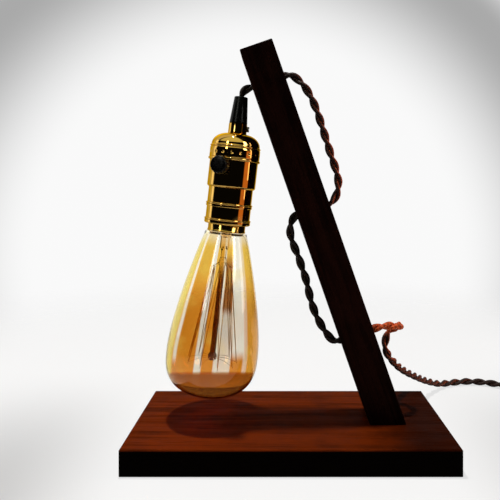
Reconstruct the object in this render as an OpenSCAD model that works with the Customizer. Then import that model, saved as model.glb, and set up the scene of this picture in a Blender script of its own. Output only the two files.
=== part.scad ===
// Bare bulb table lamp: a leaning wooden post on a flat board. A twisted cord is threaded
// through the post and carries a brass lampholder with a large pear-shaped bulb.
// Millimetres. +Z is up and -Y is the front. The origin is the middle of the base's underside.

/* [Base] */
// Width of the base board
base_w = 212; // [200:1:240]
// Depth of the base board
base_d = 100; // [90:1:130]
// Thickness of the base board
base_h = 17; // [14:0.5:22]
// Rounding of the base board's edges
base_round = 1.2; // [0.5:0.1:3]

/* [Post] */
// Width of the post, seen from the front
post_w = 23.5; // [21:0.5:27]
// Depth of the post, front to back
post_d = 28; // [22:0.5:34]
// Gap between the bulb's end and the board, which sets the post's length
bulb_clear = 17.4; // [11:0.1:24]
// Lean of the post towards the bulb, in degrees
post_lean = 19.2; // [18:0.1:20]
// Place of the post's foot, to the right of the base's middle
post_x = 67; // [64:1:70]
// Rounding of the post's edges
post_round = 1.2; // [0.5:0.1:3]
// Diameter of the cord holes
hole_d = 7; // [6.6:0.1:9]
// Distance of the top hole from the post's top
hole_1_down = 24.5; // [20:0.5:32]
// Distance of the middle hole from the post's top
hole_2_down = 120; // [110:0.5:130]
// Distance of the lowest hole from the post's top
hole_3_down = 213.5; // [200:0.5:220]
// Diameter of the screws from the base into the post
post_screw_d = 4.5; // [3.5:0.1:5.5]
// Length of those screws
post_screw_len = 42; // [30:1:50]
// Distance between those screws
post_screw_gap = 13; // [10:0.5:15]
// Distance of those screws from the middle of the post's foot, on the lean's side
post_screw_in = 5; // [4:0.5:6]

/* [Cord] */
// Diameter over the cord's two strands
cord_d = 6; // [5:0.1:6.4]
// Distance between the coil's turns
coil_pitch = 6.5; // [6.5:0.1:8]
// Radius of the coil's outer turn
coil_r = 44; // [42:1:50]
// Width of the strap that ties the coil
tie_w = 9; // [6:0.5:14]
// Thickness of that strap
tie_t = 0.9; // [0.6:0.1:1.5]

/* [Pendant] */
// Reach of the cord from the top hole to the pendant's axis
drop_out = 7.7; // [7:0.1:9]
// Drop of the cord from the top hole to the pendant's top
drop_down = 7.2; // [6.8:0.1:9]
// Tilt of the pendant from upright, in degrees
pendant_tilt = 6.4; // [4:0.1:8]
// Length of the cord grip
grip_len = 18.8; // [16:0.1:21]
// Diameter of the grip's top
grip_top_d = 9.4; // [9:0.1:11]
// Diameter of the grip's lower end
grip_low_d = 12.8; // [12.2:0.1:14]
// Diameter of the threaded nipple
nipple_d = 10; // [9.6:0.1:10.4]

/* [Lampholder] */
// Length of the brass neck
neck_len = 7.4; // [6:0.1:9]
// Diameter of the brass neck
neck_d = 13; // [12:0.1:14]
// Height of the dome
dome_h = 8.6; // [7:0.1:10]
// Height of the dimpled skirt
skirt_h = 10.7; // [9:0.1:12]
// Diameter of the upper shell
upper_d = 34; // [32.6:0.1:35]
// Length of the upper shell that shows below the skirt
upper_len = 19; // [17:0.5:21]
// Diameter of the lower shell
lower_d = 31.2; // [30.2:0.1:31.4]
// Length of the lower shell that shows
lower_len = 25.5; // [25:0.5:28]
// Thickness of the brass shells
brass_t = 0.5; // [0.4:0.05:0.6]
// Dimples round the skirt
dimples = 18; // [12:1:24]
// Distance of the upper shade ring below the lower shell's top
ring_1_down = 10.5; // [8:0.5:13]
// Height of the upper shade ring
ring_1_h = 3; // [2:0.1:4]
// Height of the lower shade ring
ring_2_h = 3.5; // [2:0.1:4.5]
// How far the shade rings stand out
ring_out = 0.8; // [0.5:0.1:1.4]

/* [Switch knob] */
// Diameter of the knob
knob_d = 12.5; // [11:0.1:14]
// Length of the knob
knob_len = 9; // [7:0.1:12]
// Flutes round the knob
knob_flutes = 14; // [10:1:18]
// Turn of the knob from the front towards the left, in degrees
knob_turn = 17; // [0:1:40]
// Diameter of the knob's spindle
spindle_d = 3; // [2.6:0.1:3.6]

/* [Bulb] */
// Largest diameter of the glass
glass_d = 64.2; // [58:0.1:68]
// Length of the glass below the cap
glass_len = 114; // [110:0.1:120]
// Diameter of the glass under the cap
glass_neck_d = 29.2; // [27:0.1:31]
// Thickness of the glass
glass_t = 0.8; // [0.6:0.1:1.2]
// Length of the bulb's cap, without its contact
cap_len = 24.7; // [24:0.1:26]
// Length of the plain skirt at the cap's end
cap_skirt = 7; // [6:0.1:8]
// Middle diameter of the screw thread
thread_d = 25.2; // [25:0.1:25.6]
// Depth of the screw thread
thread_depth = 1; // [0.6:0.1:1.2]
// Pitch of the screw thread
thread_pitch = 3.629; // [3.5:0.001:3.7]
// Thickness of the threaded sheet
thread_t = 0.35; // [0.25:0.05:0.4]
// Play between the bulb's thread and the holder's
thread_play = 0.35; // [0.3:0.05:0.4]
// Hairpins of the filament
hairpins = 8; // [6:1:10]
// Diameter of the filament's wire
wire_d = 0.5; // [0.4:0.05:0.8]

/* [Plug] */
// Width of the plug
plug_w = 35; // [32:0.5:38]
// Length of the plug's body
plug_len = 36; // [33:0.5:40]
// Thickness of the plug's body
plug_t = 14; // [12.6:0.2:16]
// Diameter of the plug's pins
pin_d = 4; // [3.8:0.1:4.2]
// Length of the plug's pins
pin_len = 19; // [18:0.5:20]
// Distance between the plug's pins
pin_gap = 19; // [18:0.1:19.5]

/* [Hidden] */
$fn = 64;

// Clearance of a seat between two still pieces
seat = 0.05;
// Clearance between pieces that move past each other
play = 0.3;
// A cut runs past the face that it opens by this much
over = 1;

// Pendant: distances down its axis from the pivot where the cord enters the grip
neck_u = grip_len;
dome_u = neck_u + neck_len;
skirt_u = dome_u + dome_h;
upper_u = skirt_u + skirt_h;
lower_u = upper_u + upper_len;
mouth_u = lower_u + lower_len;
upper_r = upper_d / 2;
lower_r = lower_d / 2;
skirt_r = upper_r + 0.2 + brass_t;
shell_in = 7.5;
core_top = dome_u + dome_h + 2.2;
core_low = lower_u - 0.5;
core_r = lower_r - brass_t - play;
knob_u = upper_u + 4.2;
glass_u = mouth_u + 5;
cap_u = glass_u - cap_len;
tip_u = cap_u - 2.8;

// Post: its length leaves the bulb its gap; then directions along and across it, and its holes
pendant_len = (glass_u + glass_len) * cos(pendant_tilt);
top_hole_up = bulb_clear + pendant_len + drop_down + post_w / 2 * sin(post_lean);
post_len = hole_1_down + top_hole_up / cos(post_lean);
along_post = [-sin(post_lean), 0, cos(post_lean)];
across_post = [cos(post_lean), 0, sin(post_lean)];
post_foot = [post_x, 0, base_h];
hole_at = [post_len - hole_1_down, post_len - hole_2_down, post_len - hole_3_down];

// A point on hole k's axis, a distance past its left (-1) or right (1) mouth
function mouth(k, side, out) =
    post_foot + hole_at[k] * along_post + side * (post_w / 2 + out) * across_post;

// Cord: the free points of each stretch are chosen by hand, with the post's top at cord_laid. They
// follow the post's top, and those lower than two thirds of the lowest hole follow it less.
cord_r = cord_d / 2;
cord_laid = [-23.28, 0, 276.25];
post_moved = post_foot + post_len * along_post - cord_laid;
function follow(p) = p + min(1, 1.5 * (p[2] - cord_r) / mouth(2, 1, 0)[2]) * post_moved;
loop_1 = [
    [1.5, 0, 257.5], [7.5, 0, 253], [13, 0, 246], [17.5, 0, 237], [21, 0, 227.5], [24, 0, 218],
    [27, 0, 208.5], [30, 0, 199], [33, 0, 190], [34.5, 0, 181], [33, 0, 173]
];
loop_2 = [
    [1.5, 0, 154.5], [0.5, 0, 147], [2.5, 0, 139], [6, 0, 130.5], [9, 0, 121.5], [12, 0, 112.5],
    [14, 0, 103.5], [16.5, 0, 94.5], [20, 0, 86], [25, 0, 77.5], [30.5, 0, 71]
];
laced_route = concat(
    [mouth(0, -1, -cord_r - play), mouth(0, 1, -over), mouth(0, 1, 1.5)],
    [for (p = loop_1) follow(p)],
    [mouth(1, 1, 2), mouth(1, 1, -2), mouth(1, -1, -2), mouth(1, -1, 0.5)],
    [for (p = loop_2) follow(p)],
    [mouth(2, -1, 1), mouth(2, -1, -2), mouth(2, 1, 0)]
);
tail_free = [
    [65, 0, 80.5], [71.5, 2, 80.5], [77.5, 6, 79.5], [80.5, 12, 78], [79, 18.5, 75.5], [74.5, 22.5, 71],
    [72, 23, 63.5], [73, 25, 56], [77, 29.5, 49.5], [83, 37, 42], [92, 50, 33], [106, 68, 22],
    [122, 88, 11], [136, 101, 4.5], [148, 108, 3], [162, 111, 3], [177, 109, 3], [192, 101, 3],
    [205, 88.5, 3]
];

// Coil: a bottom layer that winds in and a top layer that winds out
coil_centre = [250, 106];
coil_start = 225;
coil_turns = 6.875;
coil_steps = 24;
coil_low = tie_t + play + cord_r;
coil_back = coil_turns / 2;
coil_inner = coil_r - coil_pitch * coil_back;
function coil_radius(t) = coil_inner + coil_pitch * abs(t - coil_back);
function coil_climb(t) = min(1, max(0, (t - coil_back) * 2 + 0.5));
function coil_point(t) = [
    coil_centre[0] + coil_radius(t) * cos(coil_start + 360 * t),
    coil_centre[1] + coil_radius(t) * sin(coil_start + 360 * t),
    coil_low + coil_pitch * (1 - cos(180 * coil_climb(t))) / 2
];
function coil_heading(t) = [-sin(coil_start + 360 * t), cos(coil_start + 360 * t), 0];
coil_turning = [for (i = [0:coil_turns * coil_steps]) coil_point(i / coil_steps)];
coil_route = concat(
    [coil_point(0) - cord_d * coil_heading(0)], coil_turning,
    [coil_point(coil_turns) + cord_d * coil_heading(coil_turns)]
);
coil_last = len(coil_route) - 1;
coil_gaps = [
    for (i = [0:coil_last], j = [i + coil_steps / 2:coil_last]) norm(coil_route[i] - coil_route[j])
];
echo(str("least gap of the coil to itself, mm: ", min(coil_gaps) - cord_d));

coil_in = coil_route[0];
coil_out = coil_route[coil_last];
tail_route = concat(
    [mouth(2, 1, 0)], [for (p = tail_free) follow(p)], [coil_in - 2 * coil_heading(0), coil_in]
);

// Plug: it lies flat, and its axis runs towards the front from the coil's end
plug_x = coil_out[0];
plug_z = plug_t / 2;
relief_len = 22;
relief_gap = 30;
relief_back = coil_out[1] - relief_gap;
plug_back = relief_back - relief_len;
plug_front = plug_back - plug_len;
cord_in_plug = 5;
end_route = [
    coil_out, coil_out + [0, -2, 0], [plug_x, relief_back + 0.67 * relief_gap, coil_out[2] - 0.4],
    [plug_x, relief_back + 0.33 * relief_gap, plug_z + 1], [plug_x, relief_back, plug_z],
    [plug_x, plug_back, plug_z], [plug_x, plug_back - cord_in_plug, plug_z]
];

// The pendant's pivot, where the cord enters the grip, and its thread's radii
pivot = mouth(0, -1, 0) + [-drop_out, 0, -drop_down];
thread_r = thread_d / 2;
crest = thread_r + thread_depth / 2;
holder_crest = crest + thread_play + thread_t;

module on_pendant() {
    translate(pivot)
        rotate([0, pendant_tilt, 0])
            children();
}

// A revolved piece of the pendant: its outline holds [radius, distance down the axis]
module turned(outline) {
    on_pendant()
        rotate_extrude()
            polygon([for (p = outline) [p[0], -p[1]]]);
}

function backwards(p) = [for (i = [len(p) - 1:-1:0]) p[i]];

// Sweeping a round tube along a route
function unit(v) = v / norm(v);
function heading(p, i) = unit(p[min(i + 1, len(p) - 1)] - p[max(i - 1, 0)]);
function square_to(h, n) = unit(n - (n * h) * h);
function normals(p, n, i = 0) =
    let(m = square_to(heading(p, i), n))
    i == len(p) - 1 ? [m] : concat([m], normals(p, m, i + 1));
function tube_points(p, r, sides, n) =
    let(side = normals(p, n))
    [
        for (i = [0:len(p) - 1])
            let(a = side[i], b = cross(heading(p, i), side[i]))
            for (k = [0:sides - 1]) p[i] + r * (cos(360 * k / sides) * a + sin(360 * k / sides) * b)
    ];
function tube_faces(rings, sides) = concat(
    [
        for (i = [0:rings - 2], k = [0:sides - 1])
            let(a = i * sides + k, b = i * sides + (k + 1) % sides)
            for (f = [[a, b + sides, b], [a, a + sides, b + sides]]) f
    ],
    [for (k = [1:sides - 2]) [0, k, k + 1]],
    [for (k = [1:sides - 2]) let(e = (rings - 1) * sides) [e, e + k + 1, e + k]]
);

module tube(route, r, sides, first) {
    polyhedron(tube_points(route, r, sides, first), tube_faces(len(route), sides));
}

// A straight wire from a to b
module wire(a, b, r) {
    d = b - a;
    translate(a)
        rotate([0, acos(d[2] / norm(d)), atan2(d[1], d[0])])
            cylinder(h = norm(d), r = r, $fn = 16);
}

// A square outline with round corners, as exact arcs
module rounded_square(w, d, r) {
    square([w - 2 * r, d], center = true);
    square([w, d - 2 * r], center = true);
    for (x = [-1, 1], y = [-1, 1])
        translate([x * (w / 2 - r), y * (d / 2 - r)])
            circle(r = r, $fn = 32);
}

// A block with rounded edges, centred, as three crossing prisms
module rounded_block(w, d, h, r) {
    intersection() {
        linear_extrude(h, center = true)
            rounded_square(w, d, r);
        rotate([90, 0, 0])
            linear_extrude(d, center = true)
                rounded_square(w, h, r);
        rotate([90, 0, 90])
            linear_extrude(w, center = true)
                rounded_square(d, h, r);
    }
}

// A countersunk screw that points up, with its head's face at the origin
screw_rim = 0.3;
slot_w = 0.8;
module wood_screw(d, length) {
    head_d = 2 * d;
    head_h = d / 2;
    slot_depth = 1.2;
    difference() {
        rotate_extrude()
            polygon([
                [0, 0], [head_d / 2, 0], [head_d / 2, screw_rim], [d / 2, head_h + screw_rim],
                [d / 2, length - 1.5 * d], [0.07 * d, length], [0, length]
            ]);
        for (turn = [0, 90])
            rotate([0, 0, turn])
                cube([d, slot_w, 2 * slot_depth], center = true);
    }
}

module wood_screw_room(d, length) {
    translate([0, 0, -over])
        cylinder(h = over + screw_rim + seat, r = d + seat);
    translate([0, 0, screw_rim])
        cylinder(h = d / 2 + seat, r1 = d + seat, r2 = d / 2 + seat);
    cylinder(h = length + 2, r = d / 2 + seat);
}

// Where the post's screws stand, sunk a little into the board
post_screw_sunk = 1;
module at_post_screws() {
    for (side = [-1, 1])
        translate([post_x - post_screw_in, side * post_screw_gap / 2, post_screw_sunk])
            children();
}

module base_board() {
    color("#6b2a18")
        difference() {
            translate([0, 0, base_h / 2])
                rounded_block(base_w, base_d, base_h, base_round);
            at_post_screws()
                wood_screw_room(post_screw_d, post_screw_len);
        }
}

module post() {
    buried = post_w;
    color("#2a1210")
        difference() {
            translate(post_foot)
                rotate([0, -post_lean, 0])
                    translate([0, 0, (post_len - buried) / 2])
                        rounded_block(post_w, post_d, post_len + buried, post_round);
            translate([post_x - 2 * post_w, -post_d, base_h - 3 * post_w])
                cube([4 * post_w, 2 * post_d, 3 * post_w]);
            for (k = [0:2])
                translate(post_foot + hole_at[k] * along_post)
                    rotate([0, 90 - post_lean, 0])
                        cylinder(h = post_w + 2 * over, r = hole_d / 2, center = true);
            at_post_screws()
                cylinder(h = post_screw_len, r = post_screw_d / 2 + seat);
        }
}

module post_screws() {
    color("silver")
        at_post_screws()
            wood_screw(post_screw_d, post_screw_len - 2);
}

module cord_laced() {
    color("#4a2018")
        tube(laced_route, cord_r, 8, [0, 1, 0]);
}

module cord_tail() {
    color("#4a2018")
        tube(tail_route, cord_r, 8, [0, 1, 0]);
}

module cord_coil() {
    color("#4a2018")
        tube(coil_route, cord_r, 6, [0, 0, 1]);
}

module cord_end() {
    color("#4a2018")
        tube(end_route, cord_r, 8, [0, 0, 1]);
}

// A flat strap round the whole bundle of turns, flat on the floor
module coil_tie() {
    tie_angle = 45;
    inner = coil_inner - cord_r - play;
    outer = coil_r + cord_r;
    low = tie_t;
    high = coil_low + coil_pitch + cord_r + play;
    wide = outer - inner;
    tall = high - low;
    color("#202020")
        translate([coil_centre[0], coil_centre[1], 0])
            rotate([90, 0, tie_angle])
                translate([(inner + outer) / 2, (low + high) / 2, 0])
                    linear_extrude(tie_w, center = true)
                        difference() {
                            rounded_square(wide + 2 * tie_t, tall + 2 * tie_t, 1.5);
                            rounded_square(wide, tall, 0.6);
                        }
}

// Plug: its outline from above, narrow where the cord enters
module plug_outline() {
    shoulder = plug_len * 0.62;
    plug_neck = plug_w * 0.23;
    corner = 4;
    for (side = [-1, 1])
        translate([side * (plug_w / 2 - corner), shoulder - corner])
            circle(r = corner, $fn = 32);
    polygon([
        [-plug_w / 2, 0], [plug_w / 2, 0],
        [plug_w / 2, shoulder - corner], [plug_w / 2 - corner / 2, shoulder],
        [plug_neck, plug_len], [-plug_neck, plug_len],
        [-plug_w / 2 + corner / 2, shoulder], [-plug_w / 2, shoulder - corner]
    ]);
}

pin_seat = 9;
pin_root_r = pin_d / 2 - 0.4;
pin_step = 0.5;
plug_screw_back = 21;
plug_screw_r = 1.6;
plug_screw_head_r = 3;
plug_screw_head_h = 1.8;
plug_screw_low = 3;
plug_well = 2.2;
relief_flange_r = 5.5;
relief_flange_t = 1.4;
relief_step = 2.5;
relief_collar_r = 4.5;
finger_ridges = 4;
ridge_gap = 3.5;
ridge_r = 0.8;

module plug_block(low, high) {
    translate([plug_x, plug_front, low])
        linear_extrude(high - low)
            plug_outline();
}

// What both halves of the plug leave free: the pins' seats, the cord's way in and the screw
module plug_room() {
    for (side = [-1, 1])
        translate([plug_x + side * pin_gap / 2, plug_front - over, plug_z])
            rotate([-90, 0, 0])
                cylinder(h = over + pin_seat + seat, r = pin_root_r + seat);
    translate([plug_x, plug_back - cord_in_plug - over, plug_z])
        rotate([-90, 0, 0])
            cylinder(h = cord_in_plug + 2 * over, r = cord_r + play);
    translate([plug_x, plug_back - relief_step, plug_z])
        rotate([-90, 0, 0])
            cylinder(h = relief_flange_t + 0.1, r = relief_flange_r + seat);
    translate([plug_x, plug_back - relief_step + over, plug_z])
        rotate([-90, 0, 0])
            cylinder(h = relief_step, r = relief_collar_r + seat);
    translate([plug_x, plug_front + plug_screw_back, plug_screw_low])
        cylinder(h = plug_t, r = plug_screw_r + seat);
    translate([plug_x, plug_front + plug_screw_back, plug_t - plug_well])
        cylinder(h = plug_well + over, r = plug_screw_head_r + seat);
}

module plug_lower() {
    color("#1c1a18")
        difference() {
            plug_block(0, plug_z);
            plug_room();
        }
}

module plug_upper() {
    color("#1c1a18")
        difference() {
            plug_block(plug_z, plug_t);
            plug_room();
            for (side = [-1, 1], k = [1:finger_ridges])
                translate([plug_x + side * (plug_w / 2 - 0.2), plug_front + ridge_gap * k, plug_z])
                    cylinder(h = plug_t, r = ridge_r);
        }
}

module plug_pins() {
    color("silver")
        for (side = [-1, 1])
            translate([plug_x + side * pin_gap / 2, plug_front - pin_len, plug_z])
                rotate([-90, 0, 0])
                    rotate_extrude()
                        polygon([
                            [0, 0], [pin_d / 2 - 1, 0], [pin_d / 2 - 0.3, 0.4], [pin_d / 2, 1.2],
                            [pin_d / 2, pin_len - pin_step], [pin_root_r, pin_len - pin_step],
                            [pin_root_r, pin_len + pin_seat], [0, pin_len + pin_seat]
                        ]);
}

module plug_screw() {
    slot_floor = plug_t - plug_well + plug_screw_head_h - slot_w;
    color("silver")
        translate([plug_x, plug_front + plug_screw_back, 0])
            difference() {
                union() {
                    translate([0, 0, plug_screw_low])
                        cylinder(h = plug_t - plug_screw_low - over, r = plug_screw_r);
                    translate([0, 0, plug_t - plug_well])
                        cylinder(h = plug_screw_head_h, r = plug_screw_head_r);
                }
                translate([-plug_screw_head_r - over, -slot_w / 2, slot_floor])
                    cube([2 * (plug_screw_head_r + over), slot_w, over + slot_w]);
            }
}

// A tapered rubber sleeve with grooves, held by its flange between the halves
module plug_relief() {
    groove_gap = 3.5;
    groove_w = 1;
    tip_r = 3.9;
    color("#1c1a18")
        translate([plug_x, plug_back - relief_step, plug_z])
            rotate([-90, 0, 0])
                difference() {
                    union() {
                        cylinder(h = relief_flange_t, r = relief_flange_r);
                        cylinder(h = relief_step + over, r = relief_collar_r);
                        translate([0, 0, relief_step])
                            cylinder(h = relief_len, r1 = relief_flange_r - 0.1, r2 = tip_r);
                    }
                    translate([0, 0, -over])
                        cylinder(h = relief_len + relief_step + 2 * over, r = cord_r + 0.1);
                    for (k = [1:4])
                        translate([0, 0, relief_step + groove_gap * k])
                            difference() {
                                cylinder(h = groove_w, r = relief_flange_r + over);
                                cylinder(h = groove_w, r = tip_r + 0.4 - 0.12 * k);
                            }
                }
}

// The drop: a straight stretch out of the top hole, then an arc down into the grip
cord_in_post = 0.5;
module cord_drop() {
    leave = 180 + post_lean;
    arrive = 270 - pendant_tilt;
    step = [sin(arrive) - sin(leave), cos(leave) - cos(arrive)];
    slant = tan(post_lean);
    bend = (drop_down - slant * drop_out) / (slant * step[0] - step[1]);
    straight = (drop_out + bend * step[0]) / cos(post_lean);
    turn_at = mouth(0, -1, straight);
    arc_at = turn_at + bend * [sin(post_lean), 0, -cos(post_lean)];
    steps = 6;
    angles = [for (i = [1:steps]) leave + (arrive - leave) * i / steps];
    arc = [for (a = angles) arc_at + bend * [sin(a), 0, -cos(a)]];
    color("#201010")
        tube(concat([mouth(0, -1, -cord_in_post), turn_at], arc), cord_r, 12, [0, 1, 0]);
}

// Grip: a tapered sleeve with a round seat for the cord and a bore for the nipple
nipple_top = 9.2;
module cord_grip() {
    top_r = grip_top_d / 2;
    low_r = grip_low_d / 2;
    color("#0c0c0c")
        on_pendant()
            difference() {
                rotate_extrude()
                    polygon([
                        [0, 0], [top_r - 1, 0], [top_r - 0.3, -0.3], [top_r, -1.2], [low_r, -grip_len + 0.4],
                        [low_r - 0.3, -grip_len], [0, -grip_len]
                    ]);
                sphere(r = cord_r + 0.4);
                translate([0, 0, -grip_len - over])
                    cylinder(h = grip_len, r = cord_r + play);
                translate([0, 0, -grip_len - over])
                    cylinder(h = grip_len - nipple_top + 0.2 + over, r = nipple_d / 2 + seat);
            }
}

module nipple() {
    bore = 7.2;
    low = dome_u + 3;
    bevel = 0.5;
    color("#8a6a30")
        turned([
            [bore / 2, nipple_top], [nipple_d / 2 - bevel, nipple_top], [nipple_d / 2, nipple_top + bevel],
            [nipple_d / 2, low - bevel], [nipple_d / 2 - bevel, low], [bore / 2, low]
        ]);
}

// A cheese-head screw through the neck that bears on the nipple
neck_screw_u = neck_u + 3.4;
neck_screw_r = 1.2;
module neck_screw() {
    head_r = 1.9;
    head_h = 1.5;
    slot = 0.6;
    color("#2a2010")
        on_pendant()
            translate([0, 0, -neck_screw_u])
                rotate([0, 90, 0])
                    difference() {
                        union() {
                            translate([0, 0, nipple_d / 2 + seat])
                                cylinder(h = (neck_d - nipple_d) / 2 + head_h / 2, r = neck_screw_r);
                            translate([0, 0, neck_d / 2 + seat])
                                cylinder(h = head_h, r = head_r);
                        }
                        translate([-slot / 2, -head_r - over, neck_d / 2 + head_h - slot])
                            cube([slot, 2 * (head_r + over), over + slot]);
                    }
}

// Brass cap: the neck, the dome, a fine bead and the dimpled skirt
module socket_cap() {
    neck_r = neck_d / 2;
    bore_r = nipple_d / 2 + seat;
    wide = skirt_r - 0.6;
    rolled = 0.5;
    dimple_r = 1.1;
    dimple_out = 0.75;
    first_dimple = -92;
    arc = [for (a = [0:10:90]) a];
    dome = [for (a = arc) [neck_r + (wide - neck_r) * sin(a), dome_u + dome_h * (1 - cos(a))]];
    under_r = neck_r - 1;
    under = [
        for (a = backwards(arc))
            [
                under_r + (wide - brass_t - under_r) * sin(a),
                dome_u + brass_t + (dome_h - brass_t) * (1 - cos(a))
            ]
    ];
    dimple_u = skirt_u + skirt_h * 0.52;
    color("#8a6a30")
        difference() {
            turned(concat(
                [[bore_r, neck_u + seat], [neck_r, neck_u + seat]], dome,
                [
                    [skirt_r, skirt_u + 0.4], [skirt_r, skirt_u + 1.2], [skirt_r - 0.25, skirt_u + 1.8],
                    [skirt_r, upper_u - 2.2], [skirt_r + rolled, upper_u - 1.6],
                    [skirt_r + rolled, upper_u - 0.4], [skirt_r + 0.2, upper_u],
                    [skirt_r - brass_t, upper_u], [skirt_r - brass_t, skirt_u + 0.8]
                ],
                under, [[bore_r, dome_u + brass_t]]
            ));
            on_pendant() {
                for (k = [0:dimples - 1])
                    rotate([0, 0, first_dimple + 360 * k / dimples])
                        translate([skirt_r + dimple_out, 0, -dimple_u])
                            sphere(r = dimple_r);
                translate([0, 0, -neck_screw_u])
                    rotate([0, 90, 0])
                        cylinder(h = neck_d, r = neck_screw_r + seat);
            }
        }
}

// Turn of the knob's axis about the pendant's axis
knob_angle = -90 - knob_turn;

module on_knob() {
    on_pendant()
        translate([0, 0, -knob_u])
            rotate([0, 0, knob_angle])
                rotate([0, 90, 0])
                    children();
}

// Upper shell: open at the top, drawn in at its lower edge, with a hole for the spindle
module upper_shell() {
    inner = upper_r - brass_t;
    top = skirt_u + 2;
    color("#8a6a30")
        difference() {
            turned([
                [inner, top], [upper_r, top], [upper_r, lower_u - 1.2], [upper_r - 0.3, lower_u - 0.4],
                [upper_r - 0.9, lower_u], [lower_r + seat, lower_u], [lower_r + seat, lower_u - brass_t],
                [inner - 0.3, lower_u - brass_t], [inner, lower_u - 1.2]
            ]);
            on_knob()
                cylinder(h = 2 * upper_r, r = spindle_d / 2 + play);
        }
}

module insulating_liner() {
    outer = upper_r - brass_t - 0.1;
    color("#5a4a38")
        difference() {
            turned([
                [outer - 0.4, core_top], [outer, core_top], [outer, lower_u - 2], [outer - 0.4, lower_u - 2]
            ]);
            on_knob()
                cylinder(h = 2 * upper_r, r = spindle_d / 2 + play);
        }
}

// Core: a stepped block with the spindle's bore, the cam's chamber, the wires' ways and the screws' bores
cam_r = 4;
cam_len = 5;
chamber_r = 5.6;
core_step = lower_u - shell_in;
spindle_run = 0.06;
wire_x = 1.6;
terminal_x = 9;
core_screw_x = 10.5;
small_screw_r = 1.25;
terminal_screw_len = 4;
core_screw_len = 6;

module switch_core() {
    wide = upper_r - brass_t - 0.5 - play;
    color("#e4ddcc")
        difference() {
            turned([
                [0, core_top], [wide - 1, core_top], [wide, core_top + 1], [wide, core_step - 0.2],
                [core_r, core_step - 0.2], [core_r, core_low], [0, core_low]
            ]);
            on_knob() {
                cylinder(h = 2 * upper_r, r = spindle_d / 2 + spindle_run);
                translate([0, 0, -cam_len / 2 - 1])
                    cylinder(h = cam_len + 2, r = chamber_r);
            }
            on_pendant() {
                for (side = [-1, 1])
                    translate([side * terminal_x, 0, -core_top - terminal_screw_len])
                        cylinder(h = terminal_screw_len + over, r = small_screw_r + seat);
                for (side = [-1, 1])
                    translate([0, side * core_screw_x, -core_low - over])
                        cylinder(h = core_screw_len + over, r = small_screw_r + seat);
            }
        }
}

// Two springy strips inside the chamber, one each side of the cam
module switch_leaves() {
    leaf_t = 0.4;
    leaf_w = 4;
    leaf_len = cam_len + 1.6;
    color("#b08840")
        on_knob()
            for (side = [-1, 1])
                translate([side * (cam_r + 0.75), 0, 0])
                    cube([leaf_t, leaf_w, leaf_len], center = true);
}

// The spindle and its cam with two flats
knob_gap = 2;
knob_face = 2;
module switch_spindle() {
    color("silver")
        on_knob() {
            cylinder(h = upper_r + knob_gap + knob_len - knob_face, r = spindle_d / 2);
            intersection() {
                translate([0, 0, -cam_len / 2])
                    cylinder(h = cam_len, r = cam_r);
                cube([2 * cam_r, 1.5 * cam_r, cam_len], center = true);
            }
        }
}

// Knob: a fluted round button with a crowned face
module switch_knob() {
    back = upper_r + knob_gap;
    r = knob_d / 2;
    flute_r = 0.8;
    color("#0c0c0c")
        on_knob()
            difference() {
                translate([0, 0, back])
                    rotate_extrude()
                        polygon([
                            [0, 0], [r * 0.55, 0], [r * 0.62, 1.6], [r - 0.4, 2.2], [r, 2.8],
                            [r, knob_len - 1.2], [r - 0.5, knob_len - 0.5], [r - 1.4, knob_len - 0.1],
                            [r * 0.5, knob_len], [0, knob_len]
                        ]);
                for (k = [0:knob_flutes - 1])
                    rotate([0, 0, 360 * k / knob_flutes])
                        translate([r + 0.3, 0, back + 1.5])
                            cylinder(h = knob_len, r = flute_r, $fn = 24);
                translate([0, 0, back - over])
                    cylinder(h = knob_len - knob_face + over + seat, r = spindle_d / 2 + seat);
            }
}

// The cord's two wires inside the lampholder, down to the terminals
module inner_leads() {
    lead_r = 1.2;
    color("#7a4a20")
        on_pendant()
            for (side = [-1, 1])
                tube([
                    [side * wire_x, 0, -4], [side * wire_x, 0, -dome_u - 1],
                    [side * (wire_x + 1.5), 0, -dome_u - 4.5],
                    [side * (wire_x + 2.4), 0, -core_top + 2.8],
                    [side * (terminal_x - 3.4), 0, -core_top + 1.6],
                    [side * (terminal_x - 2.3), 0, -core_top + 1.5]
                ], lead_r, 8, [0, 1, 0]);
}

module terminal_screws() {
    head_r = 2.2;
    head_h = 2;
    slot = 0.6;
    color("silver")
        on_pendant()
            for (side = [-1, 1])
                translate([side * terminal_x, 0, -core_top])
                    difference() {
                        union() {
                            translate([0, 0, -terminal_screw_len + 0.4])
                                cylinder(h = terminal_screw_len, r = small_screw_r);
                            translate([0, 0, seat])
                                cylinder(h = head_h, r = head_r);
                        }
                        translate([-head_r - over, -slot / 2, head_h - slot])
                            cube([2 * (head_r + over), slot, slot + over]);
                    }
}

module core_screws() {
    head_r = 1.9;
    head_h = 0.8;
    color("silver")
        on_pendant()
            for (side = [-1, 1])
                translate([0, side * core_screw_x, -core_low]) {
                    translate([0, 0, -over])
                        cylinder(h = core_screw_len, r = small_screw_r);
                    translate([0, 0, -flange_t - seat - head_h])
                        cylinder(h = head_h, r = head_r);
                }
}

// Thread: one formula for the bulb's cap and the shell that takes it. It starts at its root (-1)
// or its crest (1), and always ends at its crest.
flange_t = 0.5;
thread_steps = 24;
thread_levels = 6;
thread_run = thread_pitch / 2;
function fade(x) = max(0, min(1, x / thread_run));

// Points of a threaded wall, going down: [distance down the axis, radius, share of the thread]
function thread_path(from, to, start, grow) =
    let(last = ceil((to - from) / thread_pitch * thread_levels))
    [
        for (i = [0:last])
            let(u = from + (to - from) * i / last, top = fade(u - from), low = fade(to - u))
            [u, thread_r + grow + thread_depth / 2 * ((1 - top) * start + 1 - low), min(top, low)]
    ];

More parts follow.
